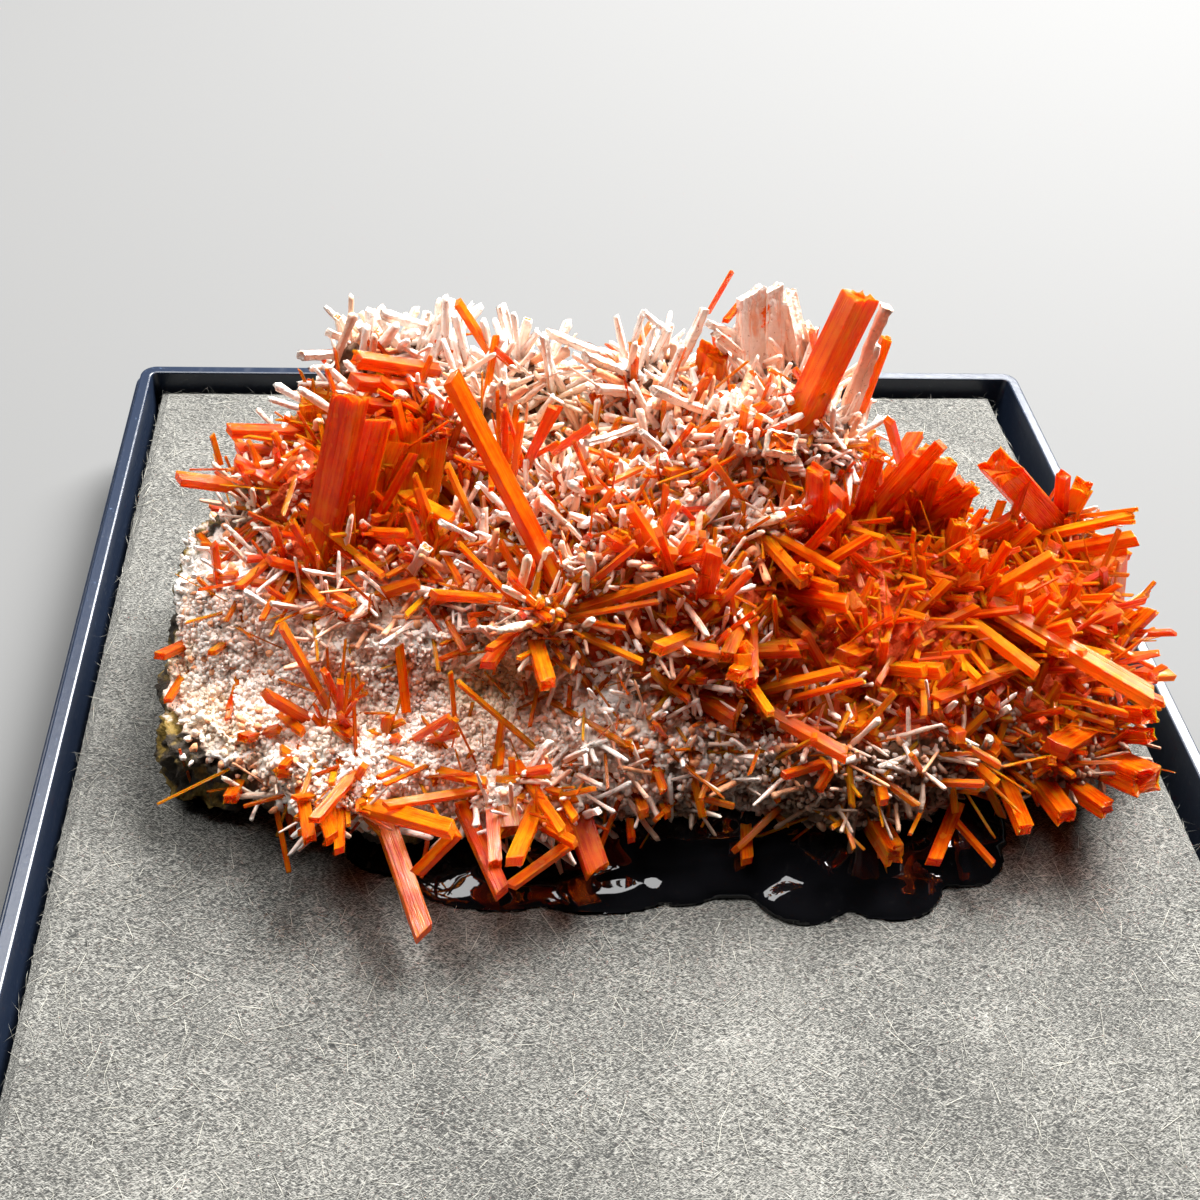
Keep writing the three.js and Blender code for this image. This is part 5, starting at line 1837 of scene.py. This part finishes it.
@dataclass
class Stone:
    """The matrix with everything small that grows on it."""

    foot: float = 8.9
    grid: float = 0.28
    zones: dict[str, tuple[float, list[Patch]]] = field(default_factory=lambda: {
        "rods": (0.6, [
            Patch((-14, -4, 14), (10, 6, 4), -0.8), Patch((-28, 0, 12), (7, 8, 6), -0.7),
            Patch((17, 1, 18), (11, 7, 5), -0.85), Patch((27, 2, 16), (5, 7, 5), -0.7),
            Patch((1, 9, 24), (12, 7, 7), 0.4), Patch((17, -8, 12), (13, 4, 4), -0.35),
            Patch((-32, 3, 14), (6, 14, 9), -0.95), Patch((2, -8, 12), (7, 4, 4), -0.3),
            Patch((-17, 9, 21), (7, 7, 5), -0.6), Patch((-14, 16, 25), (9, 4, 5), -0.3),
            Patch((-3, 18, 15), (32, 5, 7), -0.35),
        ]),
        "long_needles": (0.0, [
            Patch((0, 9, 24), (10, 6, 6), 0.9), Patch((-14, 16, 24), (9, 4, 5), 0.75),
            Patch((-4, 3, 21), (9, 5, 5), 0.5),
        ]),
        "ledge": (0.0, [
            Patch((-14, -4, 14), (10.5, 6, 4), 1.0), Patch((-25, 0, 14), (6, 5, 4), 0.9),
            Patch((-8, 0, 17), (5, 4, 4), 0.5), Patch((-28, -5, 9.5), (9, 7, 3.2), -1.0),
            Patch((-31.5, 3, 10.5), (3, 12, 4), -0.9),
        ]),
        "grains": (0.25, [
            Patch((-13, -4, 14), (10, 6, 4), 0.2), Patch((2, -8, 12), (7, 4, 4), 0.8),
            Patch((8, 11, 25), (8, 6, 6), 0.4), Patch((-28, -5, 9), (6, 5, 3), -1.0),
            Patch((-31, 3, 11), (2.5, 12, 4), -0.8), Patch((18, 0, 18), (13, 8, 6), -0.35),
            Patch((18, -8, 12), (12, 4, 3), 0.75), Patch((-24, 0, 14), (6, 8, 4), 0.3),
        ]),
        "orange": (0.25, [
            Patch((12, 0, 18), (14, 8, 6), 0.75), Patch((-5, 2, 20), (9, 6, 5), 0.35),
            Patch((26, 0, 15), (8, 9, 6), 0.7), Patch((-15, -3, 15), (12, 7, 4), -0.3),
            Patch((-17, 9, 21), (7, 7, 5), 0.7), Patch((-30, -3, 12), (5, 8, 6), -0.6),
            Patch((-13, 16, 25), (8, 4, 4), -0.08), Patch((-31, 6, 14), (4, 12, 7), -0.4),
            Patch((0, 6, 24), (10, 6, 5), 0.35),
        ]),
        "fine": (0.3, [
            Patch((0, 6, 23), (12, 8, 6), 0.65), Patch((-15, -3, 15), (12, 7, 3), -0.1),
            Patch((-13, 16, 25), (8, 4, 4), -0.4), Patch((-31, 4, 13), (4, 14, 7), -0.5),
            Patch((15, 0, 17), (14, 8, 5), 0.1),
        ]),
        "crust": (0.3, [
            Patch((-27, -4, 9), (7, 4, 3), -1.0), Patch((-31, 6, 10.5), (2, 9, 4), -0.9),
            Patch((-14, -4, 14), (12, 8, 5), 0.8), Patch((-27, -5, 11), (5, 4, 2.2), -0.6),
            Patch((2, -8, 12), (7, 4, 4), 0.25), Patch((-26, 2, 14), (6, 8, 4), 0.5),
            Patch((18, 0, 18), (13, 9, 6), -0.5), Patch((6, 10, 25), (10, 6, 5), 0.15),
        ]),
    })

    def build_rock(self, material: bpy.types.Material) -> bpy.types.Object:
        """Builds the bare stone as one skin over its lumps, and paints its zones.

        Args:
            material: The stone's finish.

        Returns:
            The piece.
        """
        shape = bmesh.new()
        add_balls(shape, LUMPS)
        for centre, radii in LEDGES:
            block = bmesh.ops.create_icosphere(shape, subdivisions=BALL_DETAIL, radius=1.0)
            for vert in block["verts"]:
                fuller = sum(abs(part) ** 4 for part in vert.co) ** -0.25
                vert.co = (Vector(centre) + vert.co * fuller * Vector(radii)) * MM
        piece = one_skin("stone", shape, self.grid)
        self._roughen(piece.data)
        self._paint(piece.data)
        piece.data.materials.append(material)
        return piece

    def _roughen(self, mesh: bpy.types.Mesh) -> None:
        """Moves the skin in and out by swells, pits and grain, and flattens the underside.

        Args:
            mesh: The stone's skin.
        """
        points, normals = read_points(mesh), read_normals(mesh)
        swell = rough_noise(points, 4.5) * 0.7 + rough_noise(points, 1.8, 7.0) * 0.5
        coral = np.abs(rough_noise(points, 1.1, 13.0)) * -1.1 + np.abs(rough_noise(points, 0.6, 21.0)) * -0.6
        points = points + normals * (swell + coral + 0.1)[:, None]
        points[:, 2] = np.maximum(points[:, 2], self.foot)
        write_points(mesh, points)

    def _paint(self, mesh: bpy.types.Mesh) -> None:
        """Paints how much of each small thing grows where.

        Args:
            mesh: The stone's skin.
        """
        points, normals = read_points(mesh), read_normals(mesh)
        upward = np.clip((normals[:, 2] + 0.75) / 0.5, 0.0, 1.0)
        under = upward * np.clip((points[:, 2] - 9.6) / 1.5, 0.0, 1.0)
        for name, (base, patches) in self.zones.items():
            value = base + sum(patch.at(points) for patch in patches)
            share = under if name != "crust" else 0.3 + 0.7 * under
            paint_points(mesh, name, np.clip(value, 0.0, 1.0) * share)

    @staticmethod
    def grow_small(
        rock: bpy.types.Object, growth: Growth, shapes: SmallShapes, finishes: dict[Slot, bpy.types.Material]
    ) -> dict[bpy.types.Object, Slot]:
        """Grows the rods, needles, grains and small prisms.

        Args:
            rock: The stone that they grow on.
            growth: The tree that scatters them.
            shapes: The unit shapes to pick from.
            finishes: The materials by slot.

        Returns:
            The slot of each new piece.
        """
        rods, grains, prisms = shapes.needles, shapes.knobs, shapes.prisms
        # The ledge grains keep to the whitest tints, partly their own colour and partly painted light where
        # the ledge's top is lit.
        white = (0.0, 0.4)
        covers = {
            "coated_rods": (rods, Cover("rods", 2.0, 0.32, (0.17, 0.4), (1.2, 3.2), (0.4, 1.4), 3)),
            "coated_needles": (
                rods, Cover("long_needles", 1.7, 0.45, (0.3, 0.66), (1.6, 4.0), (0.4, 1.45), 4)
            ),
            "ledge_grains": (
                grains, Cover("ledge", 16.0, 0.12, (0.16, 0.5), (0.2, 0.6), (0.0, 1.2), 5, white)
            ),
            "druse_grains": (grains, Cover("grains", 5.0, 0.18, (0.2, 0.6), (0.3, 0.9), (0.0, 1.2), 6)),
            "small_prisms": (
                prisms, Cover("orange", 0.95, 0.33, (0.16, 0.5), (1.4, 4.2), (0.55, 1.45), 7)
            ),
            "fine_prisms": (prisms, Cover("fine", 0.4, 0.4, (0.07, 0.2), (1.6, 4.6), (0.1, 1.4), 8)),
        }
        made = {}
        for name, (kind, cover) in covers.items():
            slot = Slot.CROCOITE if kind is prisms else Slot.COATED
            made[growth.grow(name, rock, kind, finishes[slot], cover)] = slot
        return made


# ---------------------------------------------------------------- adhesive, lining and tray


@dataclass
class Adhesive:
    """The blob of black adhesive between the stone and the lining."""

    floor: float = 7.75
    grid: float = 0.28
    lobes: tuple[tuple[Point, Point], ...] = (
        ((5, -4, 7.7), (16, 9, 3.2)),
        ((-13, 2, 7.7), (10, 6.5, 2.6)),
        ((11.5, -10.5, 7.7), (6.5, 4.2, 1.7)),
        ((4.5, -10.5, 7.7), (5.5, 3.6, 1.5)),
        ((18, -9, 7.7), (5.0, 4.0, 1.7)),
        ((-4, -9, 7.7), (5.5, 3.2, 1.3)),
        ((9, -13.4, 7.6), (3.6, 2.4, 0.9)),
        ((14, -13.6, 7.6), (3.6, 2.4, 0.9)),
        ((19, -11.6, 7.6), (3.2, 2.2, 0.8)),
        ((1.5, -12.6, 7.6), (3.0, 1.8, 0.8)),
        ((-9.5, -11.2, 7.6), (6.0, 3.2, 0.6)),
        ((-15, -9.6, 7.6), (4.0, 2.4, 0.5)),
        ((-3.5, -12.6, 7.6), (4.6, 2.4, 0.65)),
    )

    def build(self, material: bpy.types.Material) -> bpy.types.Object:
        """Builds the blob as one smooth skin over its lobes.

        Args:
            material: The adhesive's finish.

        Returns:
            The piece.
        """
        shape = bmesh.new()
        add_balls(shape, self.lobes)
        piece = one_skin("adhesive_blob", shape, self.grid, smoothing=5)
        points = read_points(piece.data)
        wave = rough_noise(points, 5.0, 3.0) * 0.3
        strands = 1.0 - np.abs(rough_noise(points * (0.3, 1.0, 1.0), 3.0, 9.0)) * 1.7
        wave = wave + np.clip(strands, 0.0, 1.0) ** 5 * 0.22 - 0.08
        points = points + read_normals(piece.data) * wave[:, None]
        points[:, 2] = np.maximum(points[:, 2], self.floor)
        write_points(piece.data, points)
        piece.data.materials.append(material)
        return piece


def rounded_square(half: float, corner: float, steps: int = 8) -> np.ndarray:
    """Draws a square outline with round corners, counter-clockwise.

    Args:
        half: Half of the side.
        corner: The corners' radius.
        steps: Number of steps round each corner.

    Returns:
        The points as (points, 2).
    """
    points = []
    for quarter, (sx, sy) in enumerate(((1, -1), (1, 1), (-1, 1), (-1, -1))):
        start = (quarter - 1) * math.pi / 2
        middle = (sx * (half - corner), sy * (half - corner))
        for step in range(steps + 1):
            turn = start + step / steps * math.pi / 2
            points.append((middle[0] + corner * math.cos(turn), middle[1] + corner * math.sin(turn)))
    return np.array(points)


@dataclass
class Lining:
    """The felt pad in the tray, and the loose fibres on it."""

    left: float = -35.9
    right: float = 35.1
    front: float = -36.0
    back: float = 36.0
    under: float = 1.4
    top: float = 7.7
    step: float = 0.6
    edge_drop: float = 0.35
    edge_wide: float = 0.7

    def build_pad(self, material: bpy.types.Material) -> bpy.types.Object:
        """Builds the pad with a slightly uneven top and soft edges.

        Args:
            material: The felt's finish.

        Returns:
            The piece.
        """
        xs = np.linspace(self.left, self.right, int((self.right - self.left) / self.step) + 1)
        ys = np.linspace(self.front, self.back, int((self.back - self.front) / self.step) + 1)
        shape = bmesh.new()
        rows = []
        for y in ys:
            row = []
            for x in xs:
                edge = min(x - self.left, self.right - x, y - self.front, self.back - y)
                fall = self.edge_drop * max(0.0, 1.0 - edge / self.edge_wide) ** 2
                wave = 0.05 * noise.noise(Vector((x, y, 0.0)) / 6.0)
                wave += 0.03 * noise.noise(Vector((x, y, 4.0)) / 1.6)
                row.append(shape.verts.new(Vector((x, y, self.top - 0.06 - fall + wave)) * MM))
            rows.append(row)
        for low, high in zip(rows, rows[1:]):
            bridge(shape, low, high, closed=False)
        rim = rows[0] + [row[-1] for row in rows[1:-1]] + rows[-1][::-1] + [row[0] for row in rows[-2:0:-1]]
        feet = [shape.verts.new((v.co.x, v.co.y, self.under * MM)) for v in rim]
        bridge(shape, feet, rim)
        shape.faces.new(feet[::-1])
        piece = from_shape("felt_pad", shape)
        on_top = read_points(piece.data)[:, 2] > self.top - 1
        paint_points(piece.data, "fibres", on_top.astype(float))
        piece.data.materials.append(material)
        return piece

    @staticmethod
    def grow_fibres(
        pad: bpy.types.Object, growth: Growth, shapes: SmallShapes, material: bpy.types.Material
    ) -> bpy.types.Object:
        """Scatters fibres that lie flat on the pad.

        Args:
            pad: The pad.
            growth: The tree that scatters them.
            shapes: The unit shapes to pick from.
            material: The fibres' finish.

        Returns:
            The piece.
        """
        cover = Cover("fibres", 2.2, 0.1, (0.014, 0.03), (0.8, 3.2), (1.47, 1.6), 21)
        return growth.grow("felt_fibres", pad, shapes.hairs, material, cover)


@dataclass
class Tray:
    """The moulded box base: one wall with a step for the lid, and a floor."""

    side: float = 76.0
    height: float = 9.0
    corner: float = 1.6
    floor: float = 1.2
    wall: float = 1.4
    ledge: float = 0.5
    ledge_drop: float = 0.9
    bevel: float = 0.14

    def build(self, material: bpy.types.Material) -> bpy.types.Object:
        """Builds the tray by carrying its wall's outline round the square.

        Args:
            material: The tray's finish.

        Returns:
            The piece.
        """
        top, bevel, ledge, wall = self.height, self.bevel, self.ledge, self.wall
        shelf = top - self.ledge_drop
        soft = bevel * 0.3
        # Each row: inset from the outside, height, and how much paler the plastic is there, partly from wear
        # and partly as a painted reflection along the rim's edges.
        profile = [
            (0.35, 0.0, 0.2), (0.08, 0.08, 0.4), (0.0, 0.35, 0.2), (0.0, shelf - bevel, 0.3),
            (soft, shelf - soft, 1.0), (bevel, shelf, 0.6), (ledge - 0.05, shelf, 0.0),
            (ledge, shelf + 0.05, 0.0), (ledge, top - bevel, 0.4), (ledge + soft, top - soft, 1.0),
            (ledge + bevel, top, 0.7), (wall - bevel, top, 0.5), (wall - soft, top - soft, 0.9),
            (wall, top - bevel, 0.3), (wall + 0.1, self.floor + 0.3, 0.0), (wall + 0.4, self.floor, 0.0),
        ]
        shape = bmesh.new()
        paint = shape.verts.layers.float.new("edge")
        rings = []
        for inset, height, edge in profile:
            outline = rounded_square(self.side / 2 - inset, max(self.corner - inset * 0.8, 0.35))
            ring = [shape.verts.new(Vector((x, y, height)) * MM) for x, y in outline]
            for vert in ring:
                vert[paint] = edge
            rings.append(ring)
        for low, high in zip(rings, rings[1:]):
            bridge(shape, low, high)
        shape.faces.new(rings[0][::-1])
        shape.faces.new(rings[-1])
        piece = from_shape("box_base", shape)
        piece.data.materials.append(material)
        return piece


# ---------------------------------------------------------------- the studio


@dataclass(frozen=True)
class Studio:
    """The floor, the soft lights and the camera."""

    eye: Point = (-12.27, -56.73, 77.84)
    pitch: float = 45.54
    yaw: float = 8.96
    roll: float = 5.85
    lens: float = 40.5
    lit: Point = (0, 0, 12)
    floor_half: float = 3000.0
    fill: float = 0.006
    nearest: float = 5.0

    def build(self, shared: SharedEffects) -> None:
        """Builds the whole studio.

        Args:
            shared: The groups that the finishes have in common.
        """
        self._floor(shared)
        self._lamp("key", (165, 235, 350), 220.0, 9.4)
        self._lamp("sky", (-150, 120, 420), 260.0, 2.4)
        world = bpy.data.worlds.new("studio")
        bpy.context.scene.world = world
        world.use_nodes = True
        backdrop = world.node_tree.nodes["Background"].inputs
        backdrop["Color"].default_value = (1.0, 0.98, 0.95, 1.0)
        backdrop["Strength"].default_value = self.fill
        bpy.context.scene.view_settings.view_transform = "Standard"
        self._camera()

    def _floor(self, shared: SharedEffects) -> None:
        """Lays the pale floor.

        Args:
            shared: The groups that the finishes have in common.
        """
        mesh = bpy.data.meshes.new("floor")
        half = self.floor_half * MM
        corners = [(x * half, y * half, 0.0) for x, y in ((-1, -1), (1, -1), (1, 1), (-1, 1))]
        mesh.from_pydata(corners, [], [(0, 1, 2, 3)])
        floor = linked("floor", mesh)
        mesh.materials.append(PaperFinish(shared).material)

    def _lamp(self, name: str, place: Point, size: float, power: float) -> None:
        """Hangs a square soft light that faces the specimen.

        Args:
            name: The light's name.
            place: Its place.
            size: Its side.
            power: Its power in watts.
        """
        light = bpy.data.lights.new(name, "AREA")
        light.size = size * MM
        light.energy = power
        lamp = bpy.data.objects.new(name, light)
        lamp.location = Vector(place) * MM
        lamp.rotation_euler = (Vector(self.lit) - Vector(place)).to_track_quat("-Z", "Y").to_euler()
        bpy.context.scene.collection.objects.link(lamp)

    def _camera(self) -> None:
        """Sets the camera up."""
        pitch, yaw, roll = (math.radians(angle) for angle in (self.pitch, self.yaw, self.roll))
        forward = Vector((math.sin(yaw) * math.cos(pitch), math.cos(yaw) * math.cos(pitch), -math.sin(pitch)))
        level = Vector((math.cos(yaw), -math.sin(yaw), 0.0))
        upright = level.cross(forward)
        right = level * math.cos(roll) + upright * math.sin(roll)
        up = upright * math.cos(roll) - level * math.sin(roll)
        data = bpy.data.cameras.new("camera")
        data.lens = self.lens
        data.clip_start = self.nearest * MM
        camera = bpy.data.objects.new("camera", data)
        place = Matrix((right, up, -forward)).transposed().to_4x4()
        camera.matrix_world = Matrix.Translation(Vector(self.eye) * MM) @ place
        bpy.context.scene.collection.objects.link(camera)
        bpy.context.scene.camera = camera


# ---------------------------------------------------------------- assembly


def settle(piece: bpy.types.Object, nodes: Sequence[str] = ()) -> None:
    """Fixes a finished piece to the specimen's body and reports it.

    Args:
        piece: The finished piece.
        nodes: The solids that it stands for.
    """
    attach(piece, "root")
    if nodes:
        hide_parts(*nodes)
    faces = sum(len(polygon.vertices) - 2 for polygon in piece.data.polygons)
    LOG.info("%s: %d triangles", piece.name, faces)


def build_finishes(shared: SharedEffects) -> dict[Slot, bpy.types.Material]:
    """Builds the finish of each slot.

    Args:
        shared: The groups that the finishes have in common.

    Returns:
        The materials by slot.
    """
    kinds = {
        Slot.TRAY: TrayFinish,
        Slot.LINING: FeltFinish,
        Slot.ADHESIVE: AdhesiveFinish,
        Slot.GOSSAN: GossanFinish,
        Slot.CROCOITE: CrocoiteFinish,
        Slot.COATED: CoatedFinish,
    }
    return {slot: kind(shared).material for slot, kind in kinds.items()}


def crusted(
    foot: Point, tip: Point, wide: float, tint: float, flat: float = 1.0, end: End = End.BROKEN
) -> Crystal:
    """Returns a crystal under a crust, which is blunt and square unless its row says otherwise."""
    return Crystal(foot, tip, wide, tint, flat, end)


def crystal_groups() -> list[CrystalGroup]:
    """Lists every group of large crystals, then the sprays of smaller ones between them.

    Returns:
        The groups, always in the same order.
    """
    groups = []
    for name, rows in ORANGE_GROUPS.items():
        crystals = [Crystal(*row) for row in rows]
        groups.append(CrystalGroup(name, crystals, PrismMaker, Slot.CROCOITE, ("crocoite_" + name,)))
    for name, rows in COATED_GROUPS.items():
        maker = PlateMaker if name == "upright_blades" else CoatedMaker
        crystals = [crusted(*row) for row in rows]
        groups.append(CrystalGroup(name, crystals, maker, Slot.COATED, ("coated_" + name,)))
    ends, blunt = ([crusted(*row) for row in rows] for rows in (SQUARE_ENDS, LONE_COATED))
    orange = [Crystal(*row) for row in LONE_ORANGE]
    groups.append(CrystalGroup("square_end", ends, PlateMaker, Slot.COATED))
    groups.append(CrystalGroup("lone_coated", blunt, CoatedMaker, Slot.COATED))
    groups.append(CrystalGroup("lone_orange", orange, PrismMaker, Slot.CROCOITE))
    rng = np.random.default_rng(SPRAY_SEED)
    for name, sprays in SPRAYS.items():
        crystals = [crystal for spray in sprays for crystal in spray.crystals(rng)]
        groups.append(CrystalGroup(name, crystals, PrismMaker, Slot.CROCOITE))
    return groups


def build_crystals(finishes: dict[Slot, bpy.types.Material]) -> None:
    """Builds and reports every group, each with the next seed."""
    for seed, group in enumerate(crystal_groups(), start=FIRST_GROUP_SEED):
        settle(group.build(finishes[group.slot], seed), group.nodes)


def main() -> None:
    """Builds the specimen and the studio round the fixed solids."""
    logging.basicConfig(level=logging.INFO, format="%(message)s")
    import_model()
    shared = SharedEffects()
    finishes = build_finishes(shared)
    settle(Tray().build(finishes[Slot.TRAY]), ("tray",))
    shapes = SmallShapes()
    growth = Growth("growth_on_surface")
    lining = Lining()
    pad = lining.build_pad(finishes[Slot.LINING])
    settle(pad, ("lining_pad",))
    settle(lining.grow_fibres(pad, growth, shapes, FibreFinish(shared).material))
    settle(Adhesive().build(finishes[Slot.ADHESIVE]), ("adhesive",))
    build_crystals(finishes)
    stone = Stone()
    rock = stone.build_rock(finishes[Slot.GOSSAN])
    settle(rock, ("matrix",))
    for piece, slot in stone.grow_small(rock, growth, shapes, finishes).items():
        settle(piece)
    for shape in (*shapes.needles, *shapes.prisms, *shapes.hairs, *shapes.knobs):
        bpy.data.objects.remove(shape)
    Studio().build(shared)
    bpy.context.view_layer.update()


if __name__ == "__main__":
    main()
